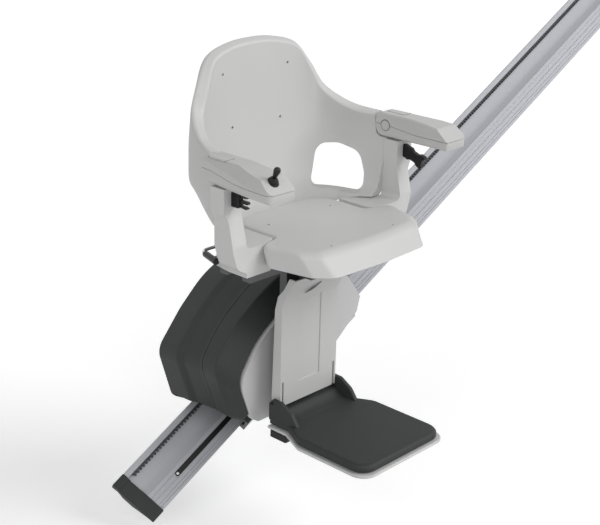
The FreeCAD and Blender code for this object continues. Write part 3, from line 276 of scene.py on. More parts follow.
def makeMaterial(name, finish):
    material = bpy.data.materials.new(name)
    material.use_nodes = True
    tree = material.node_tree
    shader = tree.nodes["Principled BSDF"]
    effect = tree.nodes.new("ShaderNodeGroup")
    if "lines" in finish:
        effect.node_tree = groups["drawnLines"]
        effect.inputs["Across Scale"].default_value = finish["lines"]
        effect.inputs["Strength"].default_value = finish["lineStrength"]
    else:
        effect.node_tree = groups["mouldGrain"]
        effect.inputs["Grain Scale"].default_value = finish["grain"]
        effect.inputs["Tone Change"].default_value = finish["tone"]
    effect.inputs["Colour"].default_value = (*finish["colour"], 1)
    effect.inputs["Roughness"].default_value = finish["rough"]
    bump = tree.nodes.new("ShaderNodeBump")
    bump.inputs["Distance"].default_value = finish["bump"]
    bump.inputs["Strength"].default_value = 1.0
    tree.links.new(effect.outputs["Colour"], shader.inputs["Base Color"])
    tree.links.new(effect.outputs["Roughness"], shader.inputs["Roughness"])
    tree.links.new(effect.outputs["Height"], bump.inputs["Height"])
    tree.links.new(bump.outputs["Normal"], shader.inputs["Normal"])
    shader.inputs["Metallic"].default_value = finish.get("metal", 0.0)
    shader.inputs["Specular IOR Level"].default_value = finish.get("gloss", 0.5)
    return material


materials = {name: makeMaterial(name, finish) for name, finish in finishes.items()}
print("materials made")

slotOf = {s["node"]: s["material_slot"] for s in frame["record"]["subparts"]}
bodyOf = {n: b for b, members in frame["record"]["behaviour"]["bodies"].items() for n in members}


def dressNode(name):
    piece = nodes[name]
    piece.data.materials.clear()
    piece.data.materials.append(materials[slotOf[name]])


for name in nodes:
    dressNode(name)

# Places in millimetres from the middle of the seat's surface: x to the right, y back, z up
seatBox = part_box("seat_base")
seatRear = 166
seatPlace = Vector((0, seatBox[1][1] - seatRear * mm, seatBox[1][2]))


def at(x, y, z):
    return seatPlace + Vector((x, y, z)) * mm


# Rail: its place, and its section in (across the leaning face, out of it)
rail = {
    "lean": 39, "frontY": 235, "startX": -263, "startZ": -668, "face": 118, "long": 1960,
    "lines": (7, 14), "lineWide": 1.2, "lineDeep": 0.9, "groove": (24.8, 37.2), "grooveDeep": 3,
    "dish": ((46, 0), (56, -4.2), (70, -7.6)), "dishDeep": 9, "lipWide": 12, "lipRise": 2, "lipOver": 2,
    "lipDeep": 16, "lipBack": 10, "backFace": ((96, -15), (87, -24), (59, -24), (38, -13), (13, -4.5)),
}


def onStairs(along, y, up):
    # along the rail, back, and square to the rail
    return at(rail["startX"] + along * math.cos(railAngle) - up * math.sin(railAngle), y,
              rail["startZ"] + along * math.sin(railAngle) + up * math.cos(railAngle))


def onFace(along, across, out):
    # on the rail's leaning face
    lean = math.radians(rail["lean"])
    return onStairs(along, rail["frontY"] + across * math.cos(lean) - out * math.sin(lean),
                    across * math.sin(lean) + out * math.cos(lean))


# Mesh tools
def roundLoop(corners, steps=6):
    # a closed loop through (place, radius) corners, each corner an arc
    loop = []
    for i, (here, radius) in enumerate(corners):
        if radius == 0:
            loop.append(here)
            continue
        before = corners[i - 1][0] - here
        after = corners[(i + 1) % len(corners)][0] - here
        half = before.angle(after) / 2
        reach = min(radius * mm / math.tan(half), before.length * 0.499, after.length * 0.499)
        first = here + before.normalized() * reach
        last = here + after.normalized() * reach
        for k in range(steps + 1):
            t = k / steps
            share = ((1 - t) ** 2, 2 * math.sin(half) * t * (1 - t), t * t)
            loop.append((first * share[0] + here * share[1] + last * share[2]) / sum(share))
    return loop


def smoothRow(points, steps):
    # a row of points through the given ones, bent evenly between them
    row = []
    last = len(points) - 1
    for i in range(last):
        a, b, c, d = (points[min(max(i + k, 0), last)] for k in (-1, 0, 1, 2))
        for k in range(steps):
            t = k / steps
            row.append(b + (c - a) * (0.5 * t) + (a * 2 - b * 5 + c * 4 - d) * (0.5 * t * t)
                       + (b * 3 - a - c * 3 + d) * (0.5 * t ** 3))
    row.append(points[last])
    return row


def makePiece(name, rings, capInset=0):
    work = bmesh.new()
    rows = [[work.verts.new(place) for place in ring] for ring in rings]
    for low, high in zip(rows, rows[1:]):
        for i in range(len(low)):
            work.faces.new((low[i - 1], low[i], high[i], high[i - 1]))
    caps = [work.faces.new(rows[0]), work.faces.new(rows[-1])]
    if capInset:
        for cap in caps:
            bmesh.ops.inset_region(work, faces=[cap], thickness=capInset * mm)
    bmesh.ops.recalc_face_normals(work, faces=work.faces)
    mesh = bpy.data.meshes.new(name)
    work.to_mesh(mesh)
    work.free()
    piece = bpy.data.objects.new(name, mesh)
    bpy.context.scene.collection.objects.link(piece)
    return piece


def plate(name, corners, place, start, end, steps=6):
    # an outline pushed through from start to end; place(a, b, depth) says where a corner lies
    return makePiece(name, [roundLoop([(place(a, b, depth), r) for a, b, r in corners], steps)
                            for depth in (start, end)])


def sideways(a, b, depth):
    return at(depth, a, b)


def frontways(a, b, depth):
    return at(a, depth, b)


def flatways(a, b, depth):
    return at(a, b, depth)


def applyModifiers(piece):
    bpy.context.view_layer.update()
    graph = bpy.context.evaluated_depsgraph_get()
    shaped = bpy.data.meshes.new_from_object(piece.evaluated_get(graph))
    piece.modifiers.clear()
    piece.data = shaped


def carve(piece, cutter, operation="DIFFERENCE"):
    change = piece.modifiers.new("carve", "BOOLEAN")
    change.operation = operation
    change.object = cutter
    applyModifiers(piece)
    bpy.data.objects.remove(cutter)


def finishPiece(piece, node, width=0, segments=3, sharp=32, slot=None, replaced=True):
    if width:
        bevel = piece.modifiers.new("round", "BEVEL")
        bevel.width = width * mm
        bevel.segments = segments
        bevel.limit_method = "ANGLE"
        bevel.angle_limit = math.radians(sharp)
        bevel.use_clamp_overlap = True
        applyModifiers(piece)
    mesh = piece.data
    for face in mesh.polygons:
        face.use_smooth = True
    mesh.set_sharp_from_angle(angle=math.radians(sharp + 6))
    even = piece.modifiers.new("even", "WEIGHTED_NORMAL")
    even.keep_sharp = True
    applyModifiers(piece)
    piece.data.materials.clear()
    piece.data.materials.append(materials[slot or slotOf[node]])
    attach(piece, bodyOf[node])
    if replaced:
        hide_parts(node)
    return piece


def disc(x, y, radius, steps):
    # the corners of a round outline
    turns = [2 * math.pi / steps * k for k in range(steps)]
    return [(x + radius * math.cos(a), y + radius * math.sin(a), 0) for a in turns]


def mirrored(corners):
    return [(-x, y, r) for x, y, r in reversed(corners)]


# Seat: rounds at the top edge, a skirt that leans forward, and a hollow underside. Each corner is x, y,
# round, how far x and y move down to the skirt's foot, and which way y spreads
seat = {
    "corners": ((148, -104, 26, -13, -35, -1), (178, -78, 16, -10, -29, -1), (203, 4, 16, -12, -6, 0),
                (141, 20, 18, 0, 0, 0), (141, 158, 45, 0, 0, 1)),
    "nose": (-114, -32, 600), "rearRound": 400, "deep": 45, "edge": 12, "wall": 4, "roof": (2, 10),
    "lip": 1.2, "holes": (94, 86.6), "hole": 3.2, "holeDepth": (-20, 5),
}


def seatLoop(z, spread, lean):
    half = [(x + spread + dx * lean, y + way * spread + dy * lean, r)
            for x, y, r, dx, dy, way in seat["corners"]]
    noseY, noseLean, noseRound = seat["nose"]
    whole = [(0, noseY + noseLean * lean - spread, noseRound)] + half
    whole += [(0, seatRear + spread, seat["rearRound"])] + mirrored(half)
    return roundLoop([(at(x, y, z), r) for x, y, r in whole], 8)


def makeSeat():
    deep, edge, wall, lip = (seat[k] for k in ("deep", "edge", "wall", "lip"))
    roofDrop, roofIn = seat["roof"]
    rings = [seatLoop(-wall - roofDrop, -wall - roofIn, 0), seatLoop(-edge - wall, -wall, 0.3),
             seatLoop(-deep, -wall, 1), seatLoop(-deep, -lip, 1), seatLoop(-deep + lip, 0, 1),
             seatLoop(-deep * 0.6, 0, 0.6)]
    for k in range(9):
        turn = math.pi / 2 * k / 8
        drop = edge * (1 - math.sin(turn))
        rings.append(seatLoop(-drop, -edge * (1 - math.cos(turn)), drop / deep))
    piece = makePiece("seatBase", rings, capInset=2)
    for x in (-1, 1):
        for y in (-1, 1):
            spot = disc(seat["holes"][0] * x, seat["holes"][1] * y, seat["hole"], 16)
            carve(piece, plate("hole", spot, flatways, *seat["holeDepth"]))
    finishPiece(piece, "seat_base", sharp=40)


# Back shell: stations from the middle to the front end. Each has (foot, low, middle, rim) in (x, y), then the
# foot's height, the rim's height, how much higher its outer edge is, and the way its wall faces
shell = {
    "stations": (((0, 171), (0, 184), (0, 206), (0, 227), -12, 344, 12, (0, 1)),
                 ((62, 170), (62, 184), (62, 206), (66, 226), -17, 339, 12, (0.05, 1)),
                 ((110, 165), (112, 182), (112, 207), (122, 217), -20, 320, 12, (0.35, 0.94)),
                 ((134, 150), (142, 173), (151, 198), (151, 205), -20, 272, 12, (0.72, 0.7)),
                 ((146, 130), (168, 151), (181, 184), (178, 190), -16, 222, 11, (0.8, 0.6)),
                 ((158, 112), (190, 124), (208, 158), (207, 141), -4, 189, 8, (0.9, 0.43)),
                 ((182, 84), (212, 86), (229, 106), (232, 84), 2, 180, 4, (0.98, 0.2)),
                 ((206, 50), (222, 50), (236, 50), (238, 50), 3, 178, 4, (1, 0))),
    "lowZ": 26, "middleZ": 90, "swell": 6, "wall": 26, "rim": 8,
    "frontCut": (-60, 60), "frontCutZ": (-60, 420), "hingeRoom": 29, "cutReach": 400,
    "window": ((-50, 13, 15), (67, 7, 15), (70, 42, 44), (58, 88, 30), (10, 103, 44), (-38, 103, 24)),
    "windowAcross": (0.66, -0.75), "windowDepth": (100, 350),
    "clips": ((95, 224, 289), (71, 226, 175)), "clip": 3, "clipDepth": (-14, 6),
}
armHinge = (59, 158)


def shellColumn(station):
    foot, low, middle, rim, footZ, rimZ, rise, facing = station
    out = Vector((facing[0], facing[1], 0)).normalized() * shell["wall"] * mm
    inner = [at(*foot, footZ), at(*low, shell["lowZ"]), at(*middle, shell["middleZ"]), at(*rim, rimZ)]
    inner.insert(3, (inner[2] + inner[3]) / 2 + out * (shell["swell"] / shell["wall"]))
    outer = [place + out for place in inner]
    outer[4] = outer[4] + Vector((0, 0, rise * mm))
    return inner + outer


def makeShell():
    right = [shellColumn(station) for station in shell["stations"]]
    flip = Matrix.Scale(-1, 4, Vector((1, 0, 0)))
    columns = [[flip @ place for place in column] for column in reversed(right[1:])] + right
    rows = [smoothRow([column[k] for column in columns], 7) for k in range(10)]
    rings = []
    for i in range(len(rows[0])):
        inner = smoothRow([rows[k][i] for k in range(5)], 8)
        outer = smoothRow([rows[k][i] for k in range(5, 10)], 8)
        corners = [(p, 0) for p in inner[:-3]] + [(inner[-1], shell["rim"]), (outer[-1], shell["rim"])]
        corners += [(p, 0) for p in reversed(outer[:-3])]
        rings.append(roundLoop(corners, 6))
    piece = makePiece("backShell", rings)
    first, last = shell["frontCut"]
    low, high = shell["frontCutZ"]
    hingeY, hingeZ = armHinge
    room, reach = shell["hingeRoom"], shell["cutReach"]
    front = [(first, low, 0), (last, low, 0), (last, hingeZ - room, 0), (hingeY + room, hingeZ - room, room),
             (hingeY + room, high, 0), (first, high, 0)]
    carve(piece, plate("front", front, sideways, -reach, reach, 12))
    for side in (-1, 1):
        x, y = shell["windowAcross"]
        along, through = Vector((x * side, y, 0)) * mm, Vector((-y * side, x, 0)) * mm

        def onCorner(a, b, depth):
            return at(0, 0, b) + along * a + through * depth
        carve(piece, plate("window", shell["window"], onCorner, *shell["windowDepth"], 10))
        for x, y, z in shell["clips"]:
            near, far = shell["clipDepth"]
            spot = disc(x * side, z, shell["clip"], 16)
            carve(piece, plate("clip", spot, frontways, y + near, y + far))
    finishPiece(piece, "back_shell", sharp=42)


# Arm supports: an upright that steps in under the shell and flows into a block beside the seat
support = {
    "front": ((234, 128, 0), (281, 128, 0), (281, 78, 10), (271, 62, 12), (271, 6, 60), (258, -36, 24),
              (222, -56, 40), (150, -60, 0), (150, 0, 0), (234, 0, 14)),
    "frontDepth": (6, 62), "sideDepth": (140, 290), "blockDepth": (-60, 0), "roomDepth": (-70, 8),
    "side": ((59.7, 129, 0), (22, 129, 0), (22, 72, 60), (8, 12, 60), (8, -61, 0), (59.7, -61, 0)),
    "block": ((146, 8, 0), (232, 8, 0), (232, 60, 10), (224, 108, 10), (146, 108, 0)),
    "lug": ((39, 125, 0), (39, 178, 19.9), (79, 178, 19.9), (79, 138, 19.9), (59.7, 138, 0), (59.7, 125, 0)),
    "lugX": (250, 266), "gap": 3, "round": 4.5,
}


def makeSupport(side, name):
    front = [(x * side, z, r) for x, z, r in support["front"]]
    upright = plate(name, front, frontways, *support["frontDepth"], 8)
    first, last = (x * side for x in support["sideDepth"])
    carve(upright, plate("flow", support["side"], sideways, first, last, 10), "INTERSECT")
    outline = [(x * side, y, r) for x, y, r in support["block"]]
    carve(upright, plate("block", outline, flatways, *support["blockDepth"]), "UNION")
    room = [seatLoop(z, support["gap"], max(0, -z) / seat["deep"]) for z in support["roomDepth"]]
    carve(upright, makePiece("seatRoom", room))
    finishPiece(upright, name, support["round"], 4, 34)
    first, last = (x * side for x in support["lugX"])
    lug = plate(name + "Lug", support["lug"], sideways, first, last, 10)
    finishPiece(lug, name, 0.8, 2, 34, replaced=False)


# Armrests: a tapering moulding in two halves. Sections are y, outer side, its ridge, the flat top's edge, top
arm = {
    "inner": 234, "low": 132.5, "round": 2.6, "gap": 0.9, "leftReach": 11, "leftFrom": -75,
    "sections": ((90, 280, 177, 274, 184.5), (-14, 294, 165, 277, 183.5), (-50, 299, 158, 289, 180),
                 (-79, 302, 155, 297, 175.5), (-116, 302, 155, 297, 175.5)),
    "side": ((86, 185, 27), (59, 185.2, 0), (-79, 200, 0), (-79, 175.6, 0), (-106, 153.5, 0), (-109, 151, 2),
             (-109, 140, 0), (-104, 126, 0), (86, 131, 27)),
    "sideDepth": (200, 340),
    "plan": ((234, -109, 5), (302.2, -109, 20), (302.2, -79, 0), (330, 0, 0), (330, 120, 0), (200, 120, 0),
             (200, -60, 0), (234, -60, 0)),
    "planDepth": (100, 220), "seam": ((120, 160), (59, 160), (-20, 151.2), (-130, 151.2)),
    "seamReach": 200, "seamDepth": (190, 350),
    "slot": ((38, 90, 0), (38, 179, 20.9), (80, 179, 20.9), (80, 160, 0), (125, 160, 0), (125, 90, 0)),
    "slotX": (249.3, 266.7), "capRing": 12.6, "capRingOut": 0.5, "capRingIn": 1,
    "tabX": (252, 288), "tabY": (22, 71), "tabRound": 3, "tabDepth": (181, 220),
    # the first tab layer is a dark sheet a little wider than the tab: painted shade for the groove round it
    "tabAndGrooveShadeLayers": ((0.25, "knob_plastic", 0), (0.6, "arm_plastic", 1.1)),
}


def armBody(side, name):
    inner, low = arm["inner"], arm["low"]
    further = arm["leftReach"] if side < 0 else 0

    def ahead(y):
        return y - further if y < arm["leftFrom"] else y
    rings = [[at(x * side, ahead(y), z) for x, z in (
        (inner + 4, low), (outer - 7, low), (outer, low + 7), (outer, ridge), (edge, top), (inner + 3, top),
        (inner, top - 3), (inner, low + 4))] for y, outer, ridge, edge, top in arm["sections"]]
    piece = makePiece(name, rings)
    outline = [(ahead(y), z, r) for y, z, r in arm["side"]]
    first, last = (x * side for x in arm["sideDepth"])
    carve(piece, plate("side", outline, sideways, first, last, 14), "INTERSECT")
    outline = [(x * side, ahead(y), r) for x, y, r in arm["plan"]]
    carve(piece, plate("plan", outline, flatways, *arm["planDepth"], 8), "INTERSECT")
    first, last = (x * side for x in arm["slotX"])
    carve(piece, plate("slot", arm["slot"], sideways, first, last, 10))
    return piece


def makeArm(side, label):
    seam = arm["seam"]
    for half, far, shift in (("upper", -arm["seamReach"], 0), ("lower", arm["seamReach"], arm["gap"])):
        node = label + "_arm_" + half
        piece = armBody(side, node + "Moulding")
        line = [(y, z - shift, 0) for y, z in seam]
        line += [(seam[-1][0], seam[0][1] + far, 0), (seam[0][0], seam[0][1] + far, 0)]
        first, last = (x * side for x in arm["seamDepth"])
        carve(piece, plate("seam", line, sideways, first, last))
        finishPiece(piece, node, arm["round"], 3, 24)
    node = label + "_arm_upper"
    first, last = (arm["inner"] - arm["capRingOut"]) * side, (arm["inner"] + arm["capRingIn"]) * side
    ring = plate(label + "ArmCapRing", disc(*armHinge, arm["capRing"], 40), sideways, first, last)
    finishPiece(ring, node, slot="frame_steel", replaced=False)
    (innerX, outerX), (frontY, backY) = arm["tabX"], arm["tabY"]
    # first a dark sheet, painted shade in the groove round the tab, then the tab itself raised above it
    for grow, slot, inset in arm["tabAndGrooveShadeLayers"]:
        piece = armBody(side, label + "Tab" + slot[0])
        cut = [(innerX + inset, frontY + inset, arm["tabRound"]), (outerX - inset, frontY + inset, 0),
               (outerX - inset, backY - inset, 0), (innerX + inset, backY - inset, arm["tabRound"])]
        cut = [(x * side, y, r) for x, y, r in cut]
        carve(piece, plate("tab", cut, flatways, *arm["tabDepth"]), "INTERSECT")
        piece.data.transform(Matrix.Translation((0, 0, grow * mm)))
        finishPiece(piece, node, 0.3, 2, 24, slot, replaced=False)


# Carriage cover: sections across its depth, each y, half length and height above the rail's line. Pairs are
# values at the front and at the back
cover = {
    "middle": 430, "front": 105, "back": 335, "wall": 3, "low": -38, "stepLow": 70, "stepIn": 39,
    "straightLow": (130, 30), "cornerIn": (14, 24), "cornerDrop": (52, 64), "cornerRadius": (62, 42),
    "shoulderIn": (96, 122), "shoulderDrop": (10, 25), "shoulderRadius": 200, "crown": (2, 500),
    "sections": ((105, 199, 286), (122, 211, 303), (150, 219, 329), (205, 217, 327), (255, 220, 329),
                 (272, 227, 332), (335, 229, 325)),
    "edgeReach": 4.0, "edgeDip": 0.5, "hollowLow": 10, "hollowShift": -8,
    "foot": -452, "panelFoot": -456, "trayFoot": -460, "footX": (-600, 500), "footLow": -900,
    "footDepth": (0, 330),
    "darkFront": 148, "darkBack": 2, "underFront": 15, "underBack": 4, "underStep": 14, "underFar": 420,
    "underLow": -160, "underAlong": (100, 760), "seamY": 196, "seam": 1.4, "seamDeep": 1.0, "seamTop": 200,
    "corner": ((40, -300, 0), (40, 90, 0), (97, 98.5, 12), (172, 112.7, 12), (195, 137, 8), (300, 150, 0),
               (300, -300, 0)),
    "cornerDepth": (90, 120), "panelDepth": (-3, 10), "panelIn": 0.3,
}


def coverLoop(y, half, top, shrink=0, low=None):
    share = (y - cover["front"]) / (cover["back"] - cover["front"])

    def part(key):
        first, last = cover[key]
        return first + (last - first) * share
    half, top = half - shrink, top - shrink
    straight, straightRadius = cover["straightLow"]
    rise, crownRadius = cover["crown"]
    right = [(half - cover["stepIn"], cover["low"] if low is None else low, 0),
             (half - cover["stepIn"], cover["stepLow"], 0), (half, straight, straightRadius),
             (half - part("cornerIn"), top - part("cornerDrop"), part("cornerRadius")),
             (half - part("shoulderIn"), top - part("shoulderDrop"), cover["shoulderRadius"])]
    whole = right + [(0, top + rise, crownRadius)] + mirrored(right)
    return roundLoop([(onStairs(cover["middle"] + u, y, n), r) for u, n, r in whole], 10)


def coverRings(shrink=0, low=None, startShift=0, endShift=0):
    # three rings at each inner section, so that its edge is a narrow round
    rings = []
    sections = cover["sections"]
    for i, (y, half, top) in enumerate(sections):
        if i in (0, len(sections) - 1):
            rings.append(coverLoop(y + (endShift if i else startShift), half, top, shrink, low))
            continue
        for way in (-1, 0, 1):
            nextY, nextHalf, nextTop = sections[i + (1 if way > 0 else -1)]
            share = cover["edgeReach"] / abs(nextY - y) if way else 0
            dip = 0 if way else cover["edgeDip"]
            rings.append(coverLoop(y + cover["edgeReach"] * way, half + (nextHalf - half) * share - dip,
                                   top + (nextTop - top) * share - dip, shrink, low))
    return rings


def blockBelow(name, top, start, end):
    (left, right), low = cover["footX"], cover["footLow"]
    corners = ((left, low, 0), (right, low, 0), (right, top, 0), (left, top, 0))
    return plate(name, corners, frontways, start, end)


def makeCover():
    piece = makePiece("carriageCover", coverRings())
    wall, low = cover["wall"], cover["low"] - cover["hollowLow"]
    carve(piece, makePiece("hollow", coverRings(wall, low, cover["hollowShift"], -wall)))
    # the underside rises towards the front and keeps clear of the rail's lip
    clear = cover["underBack"]
    front, back = cover["front"] - cover["underFront"], rail["frontY"] - clear
    lean = math.radians(rail["lean"])
    lip = rail["frontY"] + (rail["face"] + clear) * math.cos(lean) - clear * math.sin(lean)
    lipUp = (rail["face"] + clear) * math.sin(lean) + clear * math.cos(lean)
    slope = (cover["darkFront"] - cover["darkBack"]) / (back - cover["front"])
    step, far, low = lipUp + cover["underStep"], cover["underFar"], cover["underLow"]
    below = ((front, cover["darkFront"] + cover["underFront"] * slope), (back, cover["darkBack"]), (lip, lipUp),
             (lip, step), (far, step), (far, low), (front, low))

    def acrossRail(a, b, depth):
        return onStairs(depth, a, b)
    carve(piece, plate("below", [(y, n, 0) for y, n in below], acrossRail, *cover["underAlong"]))
    carve(piece, blockBelow("foot", cover["foot"], *cover["footDepth"]))
    groove = blockBelow("groove", cover["seamTop"], cover["seamY"], cover["seamY"] + cover["seam"])
    beside = cover["sections"][2:4]
    carve(groove, makePiece("core", [coverLoop(*section, shrink=cover["seamDeep"]) for section in beside]))
    carve(piece, groove)
    finishPiece(piece, "carriage_cover", sharp=34)
    y, half, top = cover["sections"][0]
    rings = [coverLoop(y + depth, half, top, cover["panelIn"]) for depth in cover["panelDepth"]]
    panel = makePiece("frontPanel", rings)
    carve(panel, blockBelow("foot", cover["panelFoot"], *cover["footDepth"]))

    def onPanel(a, b, depth):
        return onStairs(cover["middle"] + a, depth, b)
    carve(panel, plate("corner", cover["corner"], onPanel, *cover["cornerDepth"]))
    finishPiece(panel, "front_panel", 0.8, 2, 34)


# Rail: a drawn section with fine lines, a strip groove and a dished channel for the rack
def makeRail():
    face, edge, lip = rail["face"], rail["face"] + rail["lipOver"], rail["face"] - rail["lipWide"]
    section = [(0, -rail["grooveDeep"]), (0, 0)]
    for near in rail["lines"]:
        far, deep = near + rail["lineWide"], rail["lineDeep"]
        section += [(near, 0), (near, -deep), (far, -deep), (far, 0)]
    near, far = rail["groove"]
    section += [(near, 0), (near, -rail["grooveDeep"]), (far, -rail["grooveDeep"]), (far, 0)]
    dish = [Vector((m, w, 0)) for m, w in rail["dish"]] + [Vector((lip, -rail["dishDeep"], 0))]
    section += [(p.x, p.y) for p in smoothRow(dish, 6)]
    section += [(lip, rail["lipRise"]), (face, rail["lipRise"]), (edge, 0), (edge, -rail["lipDeep"]),
                (face - rail["lipBack"], -rail["lipDeep"])] + list(rail["backFace"])
    rings = [[onFace(along, m, w) for m, w in section] for along in (0, rail["long"])]
    finishPiece(makePiece("railExtrusion", rings), "rail_extrusion", 0.35, 1, 24)


# Contact strip at the rail's lower end, with its end screws
strip = {
    "from": 84, "to": 600, "across": 31, "half": 5.6, "depth": (-3, -0.5), "screw": 3.3, "screwDepth": (-3, 1),
}


def makeStrip():
    def along(a, b, depth):
        return onFace(a, strip["across"] + b, depth)
    first, last, half = strip["from"] - strip["half"], strip["to"] + strip["half"], strip["half"]
    corners = ((first, -half, half), (last, -half, half), (last, half, half), (first, half, half))
    finishPiece(plate("contactStrip", corners, along, *strip["depth"], 8), "contact_strip", 0.4, 2)
    for place, label in ((strip["from"], "lower"), (strip["to"], "upper")):
        screw = plate(label + "StripScrew", disc(place, 0, strip["screw"], 20), along, *strip["screwDepth"])
        finishPiece(screw, "strip_screws", 0.7, 2, 50, replaced=label == "lower")


# Footrest: a slab with rounded edges, a ramp to the post's foot, two ears on its pin, and under it a wider
# plate with two edge switches
tread = {
    "top": -431, "thick": 16, "edge": 8, "ear": 10, "earX": 89, "foot": ((0, -2), (0.6, -0.6), (2, 0)),
    "outline": ((101, 66, 0), (101, 12, 16), (128, -42, 30), (128, -226, 34)),
    "ears": ((73, -440, 0), (73, -400, 8), (62, -389, 12), (36, -390, 14), (6, -407, 20), (-12, -431, 10),
             (-14, -440, 0)),
    "ramp": ((2, -440, 0), (2, -431.6, 0), (26, -428, 30), (44, -414.9, 14), (67, -414.9, 0), (67, -440, 0)),
    "rampX": 89.3, "plateDrop": 2.6, "plateThick": 6, "plateMargin": 7, "plateFoot": 1, "plateEdge": 1.5,
    "switch": (26, 48, 16), "switchPlace": (97, 10), "switchRound": 4, "switchGap": 0.2,
}


def treadLoop(z, spread):
    half = [(x + spread, y - (spread if y < 0 else 0), r) for x, y, r in tread["outline"]]
    return roundLoop([(at(x, y, z), r) for x, y, r in half + mirrored(half)], 8)


def makeTread():
    top, thick, edge = tread["top"], tread["thick"], tread["edge"]
    rings = [treadLoop(top - thick + rise, spread) for rise, spread in tread["foot"]]
    for k in range(7):
        turn = math.pi / 2 * k / 6
        rings.append(treadLoop(top - edge * (1 - math.sin(turn)), -edge * (1 - math.cos(turn))))
    finishPiece(makePiece("footrestTread", rings, capInset=2), "footrest_tread", sharp=40)
    ramp = plate("footrestRamp", tread["ramp"], sideways, -tread["rampX"], tread["rampX"], 8)
    finishPiece(ramp, "footrest_tread", 0.6, 2, 40, replaced=False)
    for side, label in ((-1, "left"), (1, "right")):
        ear = plate(label + "FootrestEar", tread["ears"], sideways, tread["earX"] * side,
                    (tread["earX"] + tread["ear"]) * side, 8)
        finishPiece(ear, "footrest_tread", 2.4, 3, 40, replaced=False)
    top -= thick + tread["plateDrop"]
    low, grow = top - tread["plateThick"], tread["plateMargin"]
    lower, upper = tread["plateFoot"], tread["plateEdge"]
    levels = ((low, lower), (low + lower, 0), (top - upper, 0), (top, upper))
    rings = [treadLoop(z, grow - inset) for z, inset in levels]
    finishPiece(makePiece("safetyPlate", rings, capInset=2), "safety_plate", sharp=40)
    wide, deep, high = tread["switch"]
    for side, label in ((-1, "left"), (1, "right")):
        x, y, r = tread["switchPlace"][0] * side, tread["switchPlace"][1], tread["switchRound"]
        left, right = x - wide / 2, x + wide / 2
        corners = ((left, y, r), (right, y, r), (right, y + deep, r), (left, y + deep, r))
        switch = plate(label + "EdgeSwitch", corners, flatways, low - high, low - tread["switchGap"], 4)
        finishPiece(switch, "safety_plate", 1.4, 3, 40, "knob_plastic", replaced=False)


# Joystick and its folded boot, both turned about one leaning axis
stick = {
    "place": (-272, -94, 161.5), "lean": 24,
    "knob": ((0.05, -6), (2.6, -6), (2.6, 18), (3.6, 19.5), (4.6, 22), (5.2, 26), (6.2, 30), (6.8, 34),
             (6.4, 37), (5.0, 39.4), (2.6, 40.4), (0.05, 40.6)),
    "boot": ((0.05, -2), (14.5, -2), (15.2, 0.4), (14.6, 2.4), (12.2, 3.6), (11.8, 4.6), (12.8, 5.8),
             (12.4, 7.4), (10.2, 8.6), (9.9, 9.4), (10.8, 10.6), (10.2, 12.2), (8.2, 13.4), (8.2, 14.6),
             (7.2, 16.6), (2.7, 17.2)),
}


def turnedPiece(name, profile):
    tip = Matrix.Rotation(math.radians(stick["lean"]), 3, "X")
    place = Vector(stick["place"])
    rings = []
    for radius, height in profile:
        rings.append([at(*(place + tip @ Vector((x, y, height)))) for x, y, r in disc(0, 0, radius, 32)])
    return makePiece(name, rings)


def makeJoystick():
    finishPiece(turnedPiece("joystickKnob", stick["knob"]), "joystick", sharp=44)
    finishPiece(turnedPiece("joystickBoot", stick["boot"]), "joystick_boot", sharp=60)


# Belt buckles on the fronts of the arm supports
buckle = {
    "x": 257, "z": 106, "y": 22, "wide": 11, "droop": 20, "socketFront": 5, "prong": 3,
    "socket": ((8, -13, 0), (8, 13, 0), (-14, 14, 2), (-20, 10, 5), (-34, 10, 5), (-40, 14.5, 4), (-53, 15, 2),
               (-55, 8, 2), (-50, 6, 3), (-50, -6, 3), (-55, -8, 2), (-53, -15, 2), (-40, -14.5, 4),
               (-34, -10, 5), (-20, -10, 5), (-14, -14, 2)),
    "base": ((0, -14, 0), (0, 14, 0), (-20, 14, 3), (-22, 11, 2), (-22, -11, 2), (-20, -14, 3)),
    "prongs": (((-18, 7, 0), (-18, 11.5, 0), (-38, 13.5, 3), (-45, 10, 2), (-37, 8, 3)),
               ((-18, -3.5, 0), (-18, 3.5, 0), (-42, 3, 2), (-45, 0, 2), (-42, -3, 2)),
               ((-18, -7, 0), (-37, -8, 3), (-45, -10, 2), (-38, -13.5, 3), (-18, -11.5, 0))),
    "behind": ((21.8, 60, 0), (21.8, 160, 0), (80, 160, 0), (80, 60, 0)), "behindDepth": (230, 290),
}


def makeBuckles():
    droop, half = math.radians(buckle["droop"]), buckle["wide"] / 2

    def onBuckle(a, b, depth):
        y = buckle["y"] - buckle["socketFront"] + a * math.cos(droop) - b * math.sin(droop)
        return at(buckle["x"] + depth, y, buckle["z"] + a * math.sin(droop) + b * math.cos(droop))
    socket = plate("buckleSocket", buckle["socket"], onBuckle, -half, half, 5)
    carve(socket, plate("back", buckle["behind"], sideways, *buckle["behindDepth"]))
    finishPiece(socket, "belt_buckle", 1.2, 3, 30)

    def onTongue(a, b, depth):
        return at(-buckle["x"] + depth, buckle["y"] + a, buckle["z"] + b)
    tongue = plate("buckleTongue", buckle["base"], onTongue, -half, half, 4)
    for prong in buckle["prongs"]:
        carve(tongue, plate("prong", prong, onTongue, -buckle["prong"], buckle["prong"], 4), "UNION")
    finishPiece(tongue, "belt_tongue", 0.8, 2, 30)


# Line on the post's cover, and a dark crescent on its slope that is painted shade
postMarks = {
    "line": (-34, 34, -287), "lineHigh": 1.1, "lineDepth": (51.8, 52.3),
    "shadeCrescent": ((-29, -154.5, 0), (-6, -152.5, 30), (11, -136, 0), (-9, -145.5, 30)),
    "shadeCrescentDepth": (0.35, -1.5), "slopeY": (12, 50), "slopeZ": (-106, -176),
}


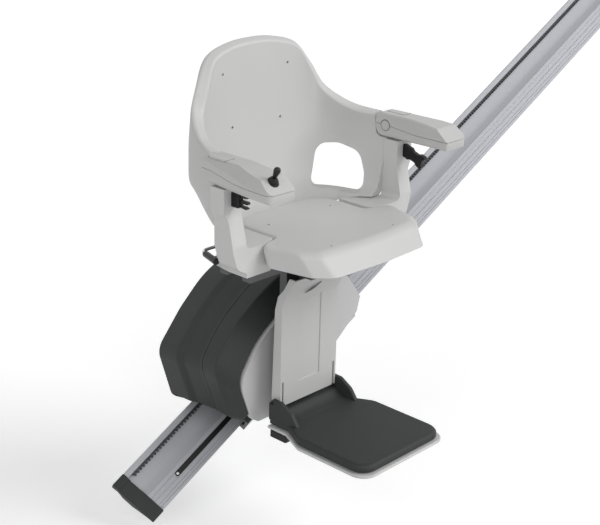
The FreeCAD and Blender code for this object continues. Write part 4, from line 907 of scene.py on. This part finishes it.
def makePostMarks():
    left, right, z = postMarks["line"]
    top = z + postMarks["lineHigh"]
    corners = ((left, z, 0), (right, z, 0), (right, top, 0), (left, top, 0))
    line = plate("postLine", corners, frontways, *postMarks["lineDepth"])
    finishPiece(line, "post_cover", slot="frame_steel", replaced=False)
    (frontY, backY), (high, low) = postMarks["slopeY"], postMarks["slopeZ"]

    def onSlope(a, b, depth):
        return at(a, frontY + (backY - frontY) * (high - b) / (high - low) - depth, b)
    # a thin dark leaf just proud of the slope: painted shade
    shadeMark = plate("postCrescentShade", postMarks["shadeCrescent"], onSlope, *postMarks["shadeCrescentDepth"], 10)
    finishPiece(shadeMark, "post_cover", slot="frame_steel", replaced=False)


# Solids that already have the right form get rounded edges: a cleaned and bevelled copy stands for each.
# Values are the round's width and its segments
softEdges = {
    "post_cover": (3.0, 3), "lower_tray": (2.0, 2), "lower_end_cap": (2.0, 2), "upper_end_cap": (2.0, 2),
    "right_arm_cap": (0.8, 2), "left_arm_cap": (0.8, 2), "guide_shoes": (0.8, 2), "gearbox": (1.5, 2),
    "drive_motor": (1.2, 2), "batteries": (2.0, 2), "lever_grip": (1.2, 2),
}
sameSpot, flatEnough = 0.00002, math.radians(0.6)


def softCopy(name, width, segments):
    mesh = nodes[name].data.copy()
    work = bmesh.new()
    work.from_mesh(mesh)
    bmesh.ops.remove_doubles(work, verts=work.verts, dist=sameSpot)
    bmesh.ops.dissolve_limit(work, angle_limit=flatEnough, verts=work.verts, edges=work.edges)
    work.to_mesh(mesh)
    work.free()
    piece = bpy.data.objects.new(name + "_soft", mesh)
    bpy.context.scene.collection.objects.link(piece)
    if name == "lower_tray":
        carve(piece, blockBelow("foot", cover["trayFoot"], *cover["footDepth"]))
    finishPiece(piece, name, width, segments, 28)


makeSeat()
print("seat made")
makeShell()
print("back shell made")
for side, label in ((1, "right"), (-1, "left")):
    makeSupport(side, label + "_arm_support")
    makeArm(side, label)
print("arms made")
makeCover()
print("carriage cover made")
makeRail()
makeStrip()
makeTread()
print("rail and footrest made")
makeJoystick()
makeBuckles()
makePostMarks()
for name, (width, segments) in softEdges.items():
    softCopy(name, width, segments)
print("small pieces made")

makeCamera()
makeLamps()
makeFloor()
bpy.context.scene.view_settings.view_transform = "Standard"
